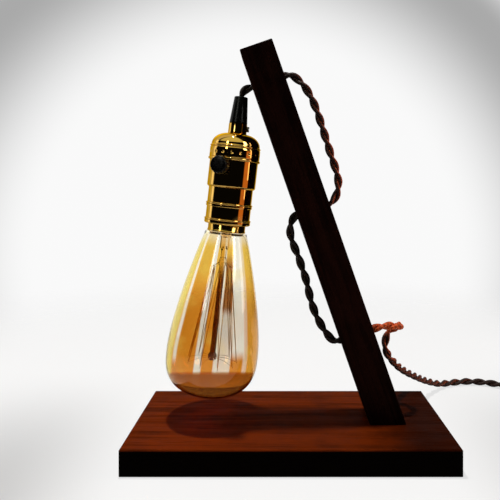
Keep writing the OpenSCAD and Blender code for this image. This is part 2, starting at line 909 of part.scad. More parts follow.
// A thin ring from a closed loop of such points, down the outside and back up the inside
module threaded_ring(loop) {
    n = thread_steps;
    rings = len(loop);
    polyhedron(
        [
            for (p = loop, k = [0:n - 1])
                let(a = 360 * k / n, r = p[1] + p[2] * thread_depth / 2 * cos(360 * p[0] / thread_pitch + a))
                [r * cos(a), r * sin(a), -p[0]]
        ],
        [
            for (i = [0:rings - 1], k = [0:n - 1])
                let(a = i * n + k, b = i * n + (k + 1) % n, c = (i + 1) % rings * n + (k + 1) % n)
                for (f = [[a, b, c], [a, c, (i + 1) % rings * n + k]]) f
        ]
    );
}

shell_top = core_low;
mouth_flare = 0.25;
shell_low = mouth_u - brass_t - 0.2;
shell_thread_low = shell_low - 3.4;

// Shell that takes the bulb: a flange on the core, the inner thread and a plain mouth
module screw_shell() {
    wall = holder_crest;
    from = shell_top + 1.2;
    flared = wall + mouth_flare;
    eye_r = 8;
    color("#b08840")
        on_pendant()
            difference() {
                threaded_ring(concat(
                    [[shell_top, eye_r, 0], [shell_top, wall, 0]],
                    thread_path(from, shell_thread_low, 1, thread_play + thread_t),
                    [
                        [shell_thread_low + 0.6, flared, 0], [shell_low, flared, 0],
                        [shell_low, flared - thread_t, 0],
                        [shell_thread_low + 0.6, flared - thread_t, 0]
                    ],
                    backwards(thread_path(from, shell_thread_low, 1, thread_play)),
                    [[shell_top + flange_t, wall - thread_t, 0], [shell_top + flange_t, eye_r, 0]]
                ));
                for (side = [-1, 1])
                    translate([0, side * core_screw_x, -shell_top - flange_t - over])
                        cylinder(h = flange_t + 2 * over, r = small_screw_r + seat);
            }
}

module shell_sleeve() {
    inner = holder_crest + mouth_flare + seat;
    color("#3a2c20")
        turned([
            [inner, shell_top + 0.2], [core_r, shell_top + 0.2], [core_r, shell_low], [inner, shell_low]
        ]);
}

// A bent strip whose tongue bears on the bulb's tip
module centre_contact() {
    reach = tip_u - play - core_low;
    strip_w = 5;
    strip_t = 0.5;
    foot = 6.5;
    tongue = 2.2;
    color("#b08840")
        on_pendant()
            translate([0, 0, -core_low])
                rotate([90, 0, 0])
                    linear_extrude(strip_w, center = true)
                        polygon([
                            [-foot, 0], [-foot + 3, 0], [0, strip_t - reach], [tongue, strip_t - reach],
                            [tongue, -reach], [-0.4, -reach], [-foot + 2.7, -strip_t], [-foot, -strip_t]
                        ]);
}

// Lower shell: its top sits inside the upper shell, and its lip turns in under the sleeve
module lower_shell() {
    inner = lower_r - brass_t;
    color("#8a6a30")
        turned([
            [inner, core_step], [lower_r, core_step], [lower_r, mouth_u - 0.5], [lower_r - 0.5, mouth_u],
            [crest + 0.6, mouth_u], [crest + 0.6, mouth_u - brass_t], [inner, mouth_u - brass_t]
        ]);
}

module shade_ring(top, high) {
    inner = lower_r + seat;
    outer = lower_r + ring_out;
    color("#8a6a30")
        turned([
            [inner, top], [outer - 0.3, top], [outer, top + 0.3], [outer, top + 1.1], [outer - 0.35, top + 1.5],
            [outer - 0.2, top + high - 0.2], [outer - 0.4, top + high], [inner, top + high]
        ]);
}

module shade_ring_upper() {
    shade_ring(lower_u + ring_1_down, ring_1_h);
}

module shade_ring_lower() {
    shade_ring(mouth_u - 0.5 - ring_2_h, ring_2_h);
}

// Bulb: the contact, its glass disc, the threaded cap and the pear-shaped glass
contact_r = 8.2;
tip_h = 1.4;
module bulb_tip() {
    tip_r = 4.4;
    color("silver")
        turned([
            [0, tip_u], [2, tip_u + 0.1], [tip_r - 0.8, tip_u + 0.5], [tip_r, tip_u + tip_h - 0.2],
            [tip_r, tip_u + tip_h], [0, tip_u + tip_h]
        ]);
}

module bulb_insulator() {
    color("#101014")
        turned([
            [0, tip_u + tip_h], [5, tip_u + tip_h], [contact_r, cap_u - 0.3], [contact_r, cap_u + 0.6],
            [0, cap_u + 0.6]
        ]);
}

cap_thread_top = cap_u + 1;
cap_thread_low = glass_u - cap_skirt + 0.5;
cap_inside = crest - 0.8;
module bulb_cap() {
    rim = contact_r + play;
    valley = thread_r - thread_depth / 2;
    color("#c8a860")
        on_pendant()
            threaded_ring(concat(
                [[cap_u - 0.3, rim, 0], [cap_u - 0.3, rim + 1.2, 0], [cap_u + 0.9, valley, 0]],
                thread_path(cap_thread_top, cap_thread_low, -1, 0),
                [
                    [glass_u - 1.2, crest, 0], [glass_u - 0.8, crest + 0.3, 0], [glass_u, crest + 0.3, 0],
                    [glass_u, cap_inside, 0], [cap_thread_low + 0.2, cap_inside, 0]
                ],
                backwards(thread_path(cap_thread_top, cap_thread_low, -1, -thread_t)),
                [[cap_u + 0.4, rim, 0]]
            ));
}

// The pear's outline: a bent flank down to the widest place, then a full round end
widest = glass_len * 0.755;
fullness = 0.72;
function bezier(a, b, c, d, t) =
    pow(1 - t, 3) * a + 3 * pow(1 - t, 2) * t * b + 3 * (1 - t) * t * t * c + pow(t, 3) * d;
function pear(shrink) = concat(
    [
        for (t = [0:0.1:0.91])
            bezier(
                [glass_neck_d / 2 - shrink, glass_u + seat + 0.8 + shrink],
                [0.335 * glass_d - shrink, glass_u + 0.2 * glass_len],
                [glass_d / 2 - shrink, glass_u + 0.56 * glass_len], [glass_d / 2 - shrink, glass_u + widest], t
            )
    ],
    [
        for (a = [0:6:90])
            [
                (glass_d / 2 - shrink) * pow(cos(a), fullness),
                glass_u + widest + (glass_len - widest - shrink) * pow(sin(a), fullness)
            ]
    ]
);

// The glass's throat clears the flats of the cap's facets
glass_throat = cap_inside * cos(180 / thread_steps) - seat;
neck_top = cap_thread_low + 0.4;

module bulb_glass() {
    throat = glass_throat;
    color("#d08a20", 0.5)
        turned(concat(
            [[throat, neck_top], [throat, glass_u + seat], [glass_neck_d / 2 - 0.6, glass_u + seat]], pear(0),
            backwards(pear(glass_t)), [[throat - glass_t, glass_u + 0.6], [throat - glass_t, neck_top]]
        ));
}

// Stem: a flare in the neck, the pinch round the wires, the long rod and two beads
rod_r = 2;
stem_r = 3.2;
bead_r = 2.9;
end_bead_r = 3.1;
bead_h = 3;
bead_fade = 1.5;
pinch_u = glass_u + 0.1 * glass_len;
pinch_h = 6;
upper_hook_u = glass_u + 0.19 * glass_len;
rod_low = glass_u + 0.78 * glass_len;
module glass_stem() {
    flare = glass_throat - glass_t - seat;
    color("#3a1c10")
        turned([
            [0, pinch_u - pinch_h], [stem_r, neck_top + 2], [flare - 1, neck_top + 0.6],
            [flare, neck_top + 0.6], [flare, neck_top + 1.2], [stem_r + 1.2, neck_top + 3],
            [stem_r, pinch_u - pinch_h], [stem_r, pinch_u], [rod_r, pinch_u + 2],
            [rod_r, upper_hook_u - bead_h / 2 - bead_fade],
            [bead_r, upper_hook_u - bead_h / 2], [bead_r, upper_hook_u + bead_h / 2],
            [rod_r, upper_hook_u + bead_h / 2 + bead_fade], [rod_r, rod_low - bead_h],
            [end_bead_r, rod_low - bead_h / 2], [end_bead_r, rod_low + 1],
            [end_bead_r - 0.9, rod_low + 2.2], [0, rod_low + 2.6]
        ]);
}

// Filament: a zigzag cage between the upper and the lower ring of hooks
cage_top_r = 0.109 * glass_d;
cage_top_u = upper_hook_u + 0.034 * glass_len;
cage_low_r = 0.272 * glass_d;
cage_low_u = rod_low + 0.025 * glass_len;
cage_step = 320 / hairpins;
cage_start = 110;
function cage_top(k) = [
    cage_top_r * cos(cage_start + cage_step * k), cage_top_r * sin(cage_start + cage_step * k), -cage_top_u
];
function cage_low(k) = [
    cage_low_r * cos(cage_start + cage_step * (k + 0.5)), cage_low_r * sin(cage_start + cage_step * (k + 0.5)),
    -cage_low_u
];

module filament() {
    color("#d8b070")
        on_pendant()
            for (k = [0:hairpins - 1]) {
                wire(cage_top(k), cage_low(k), wire_d / 2);
                wire(cage_low(k), cage_top(k + 1), wire_d / 2);
                for (bend_at = [cage_top(k), cage_low(k)])
                    translate(bend_at)
                        sphere(r = 0.62 * wire_d);
            }
}

module bulb_leads() {
    color("#8a8070")
        on_pendant()
            for (k = [0, hairpins]) {
                root = [cage_top(k)[0] * 0.3, cage_top(k)[1] * 0.3, -pinch_u + 1];
                wire(root, cage_top(k), wire_d / 2);
            }
}

// Wires from the rod's two beads out to the cage
module filament_hooks() {
    color("#8a8070")
        on_pendant() {
            for (k = [1:hairpins - 1])
                wire([cage_top(k)[0] * 0.3, cage_top(k)[1] * 0.3, -upper_hook_u], cage_top(k), wire_d / 2);
            for (k = [0:hairpins - 1])
                wire([cage_low(k)[0] * 0.14, cage_low(k)[1] * 0.14, -rod_low], cage_low(k), wire_d / 2);
        }
}

base_board();
post();
post_screws();
cord_laced();
cord_tail();
cord_coil();
coil_tie();
cord_end();
plug_lower();
plug_upper();
plug_pins();
plug_screw();
plug_relief();
cord_drop();
cord_grip();
neck_screw();
nipple();
socket_cap();
upper_shell();
insulating_liner();
switch_core();
switch_leaves();
inner_leads();
terminal_screws();
core_screws();
centre_contact();
screw_shell();
shell_sleeve();
lower_shell();
shade_ring_upper();
shade_ring_lower();
switch_knob();
switch_spindle();
bulb_tip();
bulb_insulator();
bulb_cap();
bulb_glass();
glass_stem();
bulb_leads();
filament();
filament_hooks();
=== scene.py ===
"""Dresses the bare bulb table lamp: a leaning wooden post on a flat board, a twisted cloth cord
laced through the post, and a hanging brass lampholder with a large amber pear-shaped bulb."""

import math

import bmesh
import bpy
import numpy as np
from bpy.props import FloatProperty, FloatVectorProperty, IntProperty, PointerProperty
from mathutils import Matrix, Vector


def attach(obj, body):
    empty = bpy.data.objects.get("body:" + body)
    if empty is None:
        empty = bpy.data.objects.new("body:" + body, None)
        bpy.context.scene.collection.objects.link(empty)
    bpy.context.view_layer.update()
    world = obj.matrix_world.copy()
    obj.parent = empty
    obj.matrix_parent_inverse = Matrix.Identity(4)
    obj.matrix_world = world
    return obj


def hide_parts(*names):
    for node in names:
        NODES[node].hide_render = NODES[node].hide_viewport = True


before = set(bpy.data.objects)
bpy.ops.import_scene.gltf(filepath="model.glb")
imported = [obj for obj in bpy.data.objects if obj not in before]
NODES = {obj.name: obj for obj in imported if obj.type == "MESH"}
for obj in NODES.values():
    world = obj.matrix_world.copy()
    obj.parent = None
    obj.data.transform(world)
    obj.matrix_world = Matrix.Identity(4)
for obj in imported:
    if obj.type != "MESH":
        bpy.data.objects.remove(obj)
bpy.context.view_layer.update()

bl_info = {
    "name": "Bare Bulb Table Lamp",
    "version": (1, 0, 0),
    "blender": (4, 5, 0),
    "location": "View3D > Sidebar > Lamp",
    "description": "Dresses a table lamp with a leaning post, a laced cord and a large bare bulb",
    "category": "Object",
}

MM = 0.001

# The post: its foot, its lean and its three cord holes, counted from its top
POST_FOOT = Vector((67, 0, 17)) * MM
POST_LEAN = math.radians(19.2)
POST_WIDTH = 23.5 * MM
POST_LENGTH = 274.57 * MM
HOLES_DOWN = (24.5 * MM, 120 * MM, 213.5 * MM)
ALONG_POST = Vector((-math.sin(POST_LEAN), 0, math.cos(POST_LEAN)))
ACROSS_POST = Vector((math.cos(POST_LEAN), 0, math.sin(POST_LEAN)))

# The pendant hangs from the top hole: distances down its axis start at its pivot
DROP_OUT = 7.7 * MM
DROP_DOWN = 7.2 * MM
PENDANT_TILT = math.radians(6.4)
SKIRT_U = 34.8 * MM
UPPER_U = 45.5 * MM
LOWER_U = 64.5 * MM
MOUTH_U = 90 * MM
GLASS_U = 95 * MM


def mouth(hole, side, out):
    """A point on a hole's axis, a distance past its left (-1) or right (1) mouth."""
    at = POST_FOOT + (POST_LENGTH - HOLES_DOWN[hole]) * ALONG_POST
    return at + side * (POST_WIDTH / 2 + out) * ACROSS_POST


PIVOT = mouth(0, -1, 0) + Vector((-DROP_OUT, 0, -DROP_DOWN))
PENDANT = Matrix.Translation(PIVOT) @ Matrix.Rotation(PENDANT_TILT, 4, "Y")
PENDANT_DOWN = Vector((-math.sin(PENDANT_TILT), 0, -math.cos(PENDANT_TILT)))

# The stage: the level camera's shift and place, the middle of its view, and the floor
CAMERA_SHIFT = (-0.060, -0.116)
CAMERA_X = -6.7 * MM
MIDDLE_OF_VIEW = (-0.0546, 0.9928, -0.1062)
FLOOR_RADIUS = 6.0
FLOOR_DROP = 0.2 * MM

# The knob looks out of the upper shell, a little to the left of the front
KNOB_U = 49.7 * MM
KNOB_TURN = math.radians(-107)
KNOB_WAY = PENDANT @ Matrix.Translation((0, 0, -KNOB_U)) @ Matrix.Rotation(KNOB_TURN, 4, "Z")
KNOB_AXIS = KNOB_WAY @ Matrix.Rotation(math.pi / 2, 4, "Y")

# The plug lies flat beside the coil with its pins towards the front
PLUG_X = 206 * MM
PLUG_WIDE = 35 * MM
PLUG_LONG = 36 * MM
PLUG_THICK = 14 * MM
RELIEF_BACK = 70 * MM
RELIEF_LONG = 22 * MM
PLUG_BACK = RELIEF_BACK - RELIEF_LONG
PLUG_FRONT = PLUG_BACK - PLUG_LONG
TO_FRONT = Matrix.Rotation(-math.pi / 2, 4, "X")

# The cord: how far the strands have turned at its two starts, and how far out its strands lie and how thick they
# are, as shares of its diameter
LACED_PHASE = math.radians(40)
DROP_PHASE = math.radians(20)
STRAND_OUT = 0.247
STRAND_RADIUS = 0.253

# The filament's cage, as turns about the pendant, and the stem's two beads as shares of the glass
CAGE_START = math.radians(110)
CAGE_SPAN = math.radians(320)
UPPER_BEAD = 0.19
LOWER_BEAD = 0.78

# The bulb cap's thread: points round one turn, its pitch
CAP_STEPS = 96
THREAD_PITCH = 3.629 * MM

# The upper line of the brown painted low in the glass, a painted view of the board seen past the glass: how far
# it drops towards the back
PAINTED_BOARD_SLOPE = 0.31

# Colour of lacquered brass at a grazing view
BRASS_EDGE = (0.78, 0.55, 0.17)

# Meshes: the angle in degrees past which an edge stays sharp, and how near doubles lie
SHARP_ANGLE = 32
MERGE_REACH = 1e-7


class LampStageSettings(bpy.types.PropertyGroup):
    """The camera and the soft light round the lamp."""

    camera_distance: FloatProperty(
        name="Camera distance", description="From the middle of the lamp to the camera",
        default=0.383, unit="LENGTH",
    )
    camera_height: FloatProperty(
        name="Camera height", description="Height of the level camera above the table",
        default=0.1753, unit="LENGTH",
    )
    lens: FloatProperty(name="Lens", description="Focal length of the camera, mm", default=39.1)
    backdrop: FloatVectorProperty(
        name="Backdrop", description="Colour behind the lamp",
        subtype="COLOR", default=(0.95, 0.95, 0.95),
    )
    fill: FloatProperty(name="Fill", description="Strength of the even light from all sides", default=0.10)
    floor_clear: FloatProperty(
        name="Floor kept", description="Radius inside which the floor is whole",
        default=0.32, unit="LENGTH",
    )
    floor_gone: FloatProperty(
        name="Floor gone", description="Radius outside which only the backdrop shows",
        default=0.75, unit="LENGTH",
    )


class LampWoodSettings(bpy.types.PropertyGroup):
    """The board's and the post's wood."""

    board_colour: FloatVectorProperty(
        name="Board colour", description="Main colour of the board",
        subtype="COLOR", default=(0.150, 0.0200, 0.0018),
    )
    board_dark: FloatVectorProperty(
        name="Board grain", description="Dark grain of the board",
        subtype="COLOR", default=(0.066, 0.0100, 0.0014),
    )
    post_colour: FloatVectorProperty(
        name="Post colour", description="Main colour of the post",
        subtype="COLOR", default=(0.016, 0.0045, 0.0028),
    )
    post_dark: FloatVectorProperty(
        name="Post grain", description="Dark grain of the post",
        subtype="COLOR", default=(0.005, 0.0018, 0.0013),
    )


class LampCordSettings(bpy.types.PropertyGroup):
    """The twisted cloth cord."""

    diameter: FloatProperty(
        name="Cord diameter", description="Over both strands", default=0.006, unit="LENGTH"
    )
    lay: FloatProperty(
        name="Lay length", description="Length of one full twist of a strand",
        default=0.0225, unit="LENGTH",
    )
    coil_radius: FloatProperty(
        name="Coil radius", description="Of the coil's outer turn", default=0.044, unit="LENGTH"
    )
    coil_pitch: FloatProperty(
        name="Coil pitch", description="Distance between the coil's turns",
        default=0.0065, unit="LENGTH",
    )
    cloth: FloatVectorProperty(
        name="Cloth", description="Colour of the woven cover",
        subtype="COLOR", default=(0.016, 0.007, 0.005),
    )
    # Painted shade: the darker colour laid between the yarns
    painted_gap_shade: FloatVectorProperty(
        name="Cloth dark", description="Colour between the yarns",
        subtype="COLOR", default=(0.006, 0.003, 0.002),
    )
    # Painted light: copper laid on the cord's sides that face right, in place of a warm light from the right
    painted_light_copper: FloatVectorProperty(
        name="Copper", description="Colour of the cover in the light",
        subtype="COLOR", default=(1.0, 0.150, 0.030),
    )


class LampBrassSettings(bpy.types.PropertyGroup):
    """The brass lampholder."""

    brass: FloatVectorProperty(
        name="Brass", description="Colour of the lacquered brass",
        subtype="COLOR", default=(0.60, 0.36, 0.09),
    )
    tarnish: FloatVectorProperty(
        name="Tarnish", description="Colour of its dark patches",
        subtype="COLOR", default=(0.20, 0.12, 0.045),
    )
    dimples: IntProperty(name="Dimples", description="Dimples round the skirt", default=18, min=8, max=30)
    flutes: IntProperty(name="Flutes", description="Flutes round the knob", default=14, min=8, max=20)
    upper_radius: FloatProperty(
        name="Upper shell radius", description="Outside of the upper shell",
        default=0.0170, unit="LENGTH",
    )
    lower_radius: FloatProperty(
        name="Lower shell radius", description="Outside of the lower shell",
        default=0.0156, unit="LENGTH",
    )


class LampBulbSettings(bpy.types.PropertyGroup):
    """The bulb."""

    glass_radius: FloatProperty(
        name="Glass radius", description="At its widest place", default=0.0321, unit="LENGTH"
    )
    glass_length: FloatProperty(
        name="Glass length", description="Below the cap", default=0.1140, unit="LENGTH"
    )
    amber: FloatVectorProperty(
        name="Amber", description="Tint of the glass",
        subtype="COLOR", default=(0.85, 0.31, 0.026),
    )
    hairpins: IntProperty(name="Hairpins", description="Hairpins of the filament", default=8, min=6, max=10)


# Small helpers for meshes


def dressed(piece, material):
    """Gives a piece one material in place of any other."""
    piece.data.materials.clear()
    piece.data.materials.append(material)


def add_piece(name, mesh, material, body, slot, *stands_for):
    """Links a mesh as a piece on a body of the frame, in the place of its CAD nodes."""
    piece = bpy.data.objects.new(name, mesh)
    bpy.context.scene.collection.objects.link(piece)
    dressed(piece, material)
    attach(piece, body)
    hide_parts(*stands_for)
    return piece


def smooth(mesh, angle=SHARP_ANGLE):
    """Smooth shading with hard edges where faces meet at more than the angle."""
    mesh.polygons.foreach_set("use_smooth", [True] * len(mesh.polygons))
    mesh.set_sharp_from_angle(angle=math.radians(angle))


def mend(mesh, merged=False, thinned=False):
    """Turns a mesh's faces outwards, after its doubles are merged and its thin faces taken out."""
    shape = bmesh.new()
    shape.from_mesh(mesh)
    if merged:
        bmesh.ops.remove_doubles(shape, verts=shape.verts, dist=MERGE_REACH)
    if thinned:
        bmesh.ops.dissolve_degenerate(shape, edges=shape.edges, dist=MERGE_REACH / 10)
    bmesh.ops.recalc_face_normals(shape, faces=shape.faces)
    shape.to_mesh(mesh)
    shape.free()


def place(mesh, matrix):
    """Moves a mesh's points, so that its object can stay at the origin."""
    mesh.transform(matrix)
    mesh.update()


def grid_mesh(name, points, caps=False):
    """A mesh from rows of points that close around; the first and last row may be capped."""
    rows, columns = points.shape[:2]
    faces = []
    for row in range(rows - 1):
        for column in range(columns):
            beside = (column + 1) % columns
            faces.append(
                (
                    row * columns + column,
                    row * columns + beside,
                    (row + 1) * columns + beside,
                    (row + 1) * columns + column,
                )
            )
    if caps:
        faces.append(tuple(range(columns - 1, -1, -1)))
        faces.append(tuple((rows - 1) * columns + column for column in range(columns)))
    mesh = bpy.data.meshes.new(name)
    mesh.from_pydata([tuple(point) for point in points.reshape(-1, 3)], [], faces)
    return mesh


def revolve(name, outline, steps=96, swell=None, angle=SHARP_ANGLE, matrix=PENDANT):
    """A closed ring turned from an outline of (radius, distance down the axis) in metres.

    The outline runs clockwise seen with the radius to the right and the distance downwards, so
    faces point outwards. swell(u, turn) may push the points of a column out or in."""
    turns = np.arange(steps) * 2 * math.pi / steps
    points = np.zeros((len(outline), steps, 3))
    for row, (radius, down) in enumerate(outline):
        push = 0 if swell is None else swell(down, turns, radius)
        points[row, :, 0] = (radius + push * (radius > 0)) * np.cos(turns)
        points[row, :, 1] = (radius + push * (radius > 0)) * np.sin(turns)
        points[row, :, 2] = -down
    if outline[0][0] > 0 and outline[-1][0] > 0:
        points = np.concatenate([points, points[:1]])
    mesh = grid_mesh(name, points)
    mend(mesh, merged=True, thinned=True)
    place(mesh, matrix)
    smooth(mesh, angle)
    return mesh


def rounded(outline, radius, steps=4):
    """The same outline with its corners rounded; a point may carry its own radius as a third value."""
    done = []
    count = len(outline)
    for index, point in enumerate(outline):
        here = np.array(point[:2])
        before = np.array(outline[index - 1][:2])
        after = np.array(outline[(index + 1) % count][:2])
        own = point[2] if len(point) > 2 else radius
        on_axis = point[0] <= 0
        arms = [before - here, after - here]
        lengths = [np.linalg.norm(arm) for arm in arms]
        reach = min(own, 0.45 * lengths[0], 0.45 * lengths[1])
        if on_axis or reach <= 1e-6:
            done.append((float(here[0]), float(here[1])))
            continue
        start = here + arms[0] / lengths[0] * reach
        end = here + arms[1] / lengths[1] * reach
        for step in range(steps + 1):
            t = step / steps
            bend = (1 - t) ** 2 * start + 2 * t * (1 - t) * here + t * t * end
            done.append((float(bend[0]), float(bend[1])))
    return done


# Shaders: small helpers, then the effects that several materials share


def give(tree, socket, value):
    """Sets a socket to a plain value, or links another node's output to it."""
    if isinstance(value, bpy.types.NodeSocket):
        tree.links.new(value, socket)
    else:
        socket.default_value = value


def put(tree, kind, inputs=None, **settings):
    """Adds a node; an input's value may be a plain value or another node's output."""
    node = tree.nodes.new(kind)
    for name, value in settings.items():
        setattr(node, name, value)
    for name, value in (inputs or {}).items():
        give(tree, node.inputs[name], value)
    return node


def calc(tree, operation, first, second=0.0):
    """A Math node's result."""
    return put(tree, "ShaderNodeMath", {0: first, 1: second}, operation=operation).outputs[0]


def times(tree, first, second):
    """The product of two values."""
    return calc(tree, "MULTIPLY", first, second)


def plus(tree, first, second):
    """The sum of two values."""
    return calc(tree, "ADD", first, second)


def vector_calc(tree, operation, *vectors):
    """A Vector Math node's outputs."""
    return put(tree, "ShaderNodeVectorMath", dict(enumerate(vectors)), operation=operation).outputs


def split(tree, vector):
    """A vector's X, Y and Z."""
    return put(tree, "ShaderNodeSeparateXYZ", {"Vector": vector}).outputs


def stretch(tree, vector, scale, turn=(0, 0, 0)):
    """A vector turned and scaled."""
    inputs = {"Vector": vector, "Rotation": turn, "Scale": scale}
    return put(tree, "ShaderNodeMapping", inputs).outputs["Vector"]


def noise(tree, where, scale, detail, roughness=0.5):
    """Soft noise at a place."""
    inputs = {"Vector": where, "Scale": scale, "Detail": detail, "Roughness": roughness}
    return put(tree, "ShaderNodeTexNoise", inputs).outputs["Fac"]


def spread(tree, value, low, high, to_low=0.0, to_high=1.0):
    """A value's range carried over to another range, with a soft start and end."""
    inputs = {"Value": value, "From Min": low, "From Max": high, "To Min": to_low, "To Max": to_high}
    return put(tree, "ShaderNodeMapRange", inputs, interpolation_type="SMOOTHSTEP").outputs["Result"]


def blend_colour(tree, factor, first, second):
    """Two colours mixed by a factor; the Mix node's colours are its inputs 6 and 7."""
    node = put(tree, "ShaderNodeMix", {0: factor}, data_type="RGBA")
    give(tree, node.inputs[6], first)
    give(tree, node.inputs[7], second)
    return node.outputs[2]


def opaque(colour):
    """A colour with its fourth value."""
    return (colour[0], colour[1], colour[2], 1.0)


def own_place(tree):
    """Object coordinates."""
    return put(tree, "ShaderNodeTexCoord").outputs["Object"]


def object_place(tree, turn=(0, 0, 0)):
    """Object coordinates, turned by a Mapping node."""
    return stretch(tree, own_place(tree), (1, 1, 1), turn)


def start_material(name):
    """A new material with its Principled shader; returns the material, its tree and the shader."""
    material = bpy.data.materials.new(name)
    material.use_nodes = True
    tree = material.node_tree
    return material, tree, tree.nodes["Principled BSDF"]


def set_plain(shader, **values):
    """Sets the shader's own sockets; underscores stand for spaces."""
    for name, value in values.items():
        shader.inputs[name.replace("_", " ")].default_value = value


def feed(tree, shader, **sources):
    """Links outputs to the shader's sockets; underscores stand for spaces."""
    for name, source in sources.items():
        tree.links.new(source, shader.inputs[name.replace("_", " ")])


def bump(tree, height, strength, distance):
    """A normal from a height."""
    inputs = {"Height": height, "Strength": strength, "Distance": distance}
    return put(tree, "ShaderNodeBump", inputs).outputs["Normal"]


def start_tree(name, inputs, outputs, kind="ShaderNodeTree"):
    """A new node tree; returns the tree, its inputs' outputs and its output node.

    Each input is a name, a socket type and a default or None, and each output a name and a type."""
    tree = bpy.data.node_groups.new(name, kind)
    for socket_name, socket_kind, value in inputs:
        socket = tree.interface.new_socket(socket_name, in_out="INPUT", socket_type=socket_kind)
        if value is not None:
            socket.default_value = value
    for socket_name, socket_kind in outputs:
        tree.interface.new_socket(socket_name, in_out="OUTPUT", socket_type=socket_kind)
    source = tree.nodes.new("NodeGroupInput")
    result = tree.nodes.new("NodeGroupOutput")
    return tree, source.outputs, result


def use_group(tree, name, inputs):
    """Places a shared effect in a material."""
    node = tree.nodes.new("ShaderNodeGroup")
    node.node_tree = bpy.data.node_groups[name]
    for socket_name, value in inputs.items():
        give(tree, node.inputs[socket_name], value)
    return node.outputs


def make_wood_group():
    """Straight-grained wood: growth lines along X of its vector, pores and soft blotches."""
    group, given, result = start_tree(
        "Wood grain",
        [
            ("Vector", "NodeSocketVector", None),
            ("Light", "NodeSocketColor", (0.5, 0.3, 0.2, 1)),
            ("Dark", "NodeSocketColor", (0.1, 0.05, 0.03, 1)),
            ("Line Scale", "NodeSocketFloat", 160.0),
            ("Blotch", "NodeSocketFloat", 0.5),
        ],
        [("Color", "NodeSocketColor"), ("Roughness", "NodeSocketFloat"), ("Height", "NodeSocketFloat")],
    )
    long_way = stretch(group, given["Vector"], (0.06, 1.0, 1.0))
    wander = noise(group, long_way, 28.0, 3.0)
    shift = put(group, "ShaderNodeCombineXYZ", {"Y": times(group, wander, 0.05)}).outputs[0]
    bent = vector_calc(group, "ADD", long_way, shift)[0]
    lines = noise(group, bent, given["Line Scale"], 6.0, 0.62)
    pores = noise(group, stretch(group, given["Vector"], (0.035, 1.0, 1.0)), 900.0, 2.0)
    blotches = noise(group, given["Vector"], 16.0, 3.0)
    line_mask = spread(group, lines, 0.40, 0.62)
    pore_mask = spread(group, pores, 0.56, 0.68)
    colour = blend_colour(group, line_mask, given["Light"], given["Dark"])
    colour = blend_colour(group, times(group, pore_mask, 0.6), colour, given["Dark"])
    patch = times(group, spread(group, blotches, 0.35, 0.7), given["Blotch"])
    colour = blend_colour(group, patch, colour, given["Dark"])
    rough = plus(group, times(group, line_mask, 0.12), times(group, pore_mask, 0.15))
    height = plus(
        group, times(group, line_mask, -0.35), times(group, pore_mask, -0.9)
    )
    group.links.new(colour, result.inputs["Color"])
    group.links.new(rough, result.inputs["Roughness"])
    group.links.new(height, result.inputs["Height"])


def make_smudge_group():
    """Soft patches, fine specks and hairline scratches for plastics and metals."""
    group, given, result = start_tree(
        "Handling marks",
        [("Vector", "NodeSocketVector", None), ("Scale", "NodeSocketFloat", 1.0)],
        [("Patches", "NodeSocketFloat"), ("Specks", "NodeSocketFloat"), ("Scratches", "NodeSocketFloat")],
    )
    inputs = {0: given["Vector"], "Scale": given["Scale"]}
    where = put(group, "ShaderNodeVectorMath", inputs, operation="SCALE").outputs[0]
    patches = noise(group, where, 120.0, 4.0, 0.6)
    specks = noise(group, where, 1500.0, 2.0)
    scratches = noise(group, stretch(group, where, (0.05, 1.0, 1.0), (0.3, 0.5, 0.9)), 1100.0, 1.0)
    group.links.new(spread(group, patches, 0.35, 0.68), result.inputs["Patches"])
    group.links.new(spread(group, specks, 0.60, 0.72), result.inputs["Specks"])
    group.links.new(spread(group, scratches, 0.66, 0.74), result.inputs["Scratches"])


def make_braid_group():
    """A woven cover on a UV map: u runs round a strand once, v along it in metres."""
    group, given, result = start_tree(
        "Braided cover",
        [
            ("UV", "NodeSocketVector", None),
            ("Yarns", "NodeSocketFloat", 10.0),
            ("Yarn Pitch", "NodeSocketFloat", 1100.0),
        ],
        [("Yarn", "NodeSocketFloat"), ("Height", "NodeSocketFloat"), ("Tone", "NodeSocketFloat")],
    )
    parts = split(group, given["UV"])
    round_way = times(group, times(group, parts["X"], given["Yarns"]), 2 * math.pi)
    along_way = times(group, parts["Y"], given["Yarn Pitch"])
    right = calc(group, "SINE", plus(group, round_way, along_way))
    left = calc(group, "SINE", calc(group, "SUBTRACT", round_way, along_way))
    over = times(group, right, left)
    yarn = spread(group, over, -0.55, 0.75)
    fuzz = noise(group, own_place(group), 2600.0, 3.0)
    tone = noise(group, own_place(group), 90.0, 3.0)
    height = plus(group, yarn, times(group, fuzz, 0.35))
    group.links.new(yarn, result.inputs["Yarn"])
    group.links.new(height, result.inputs["Height"])
    group.links.new(spread(group, tone, 0.3, 0.7), result.inputs["Tone"])


# Materials, one function for each finish


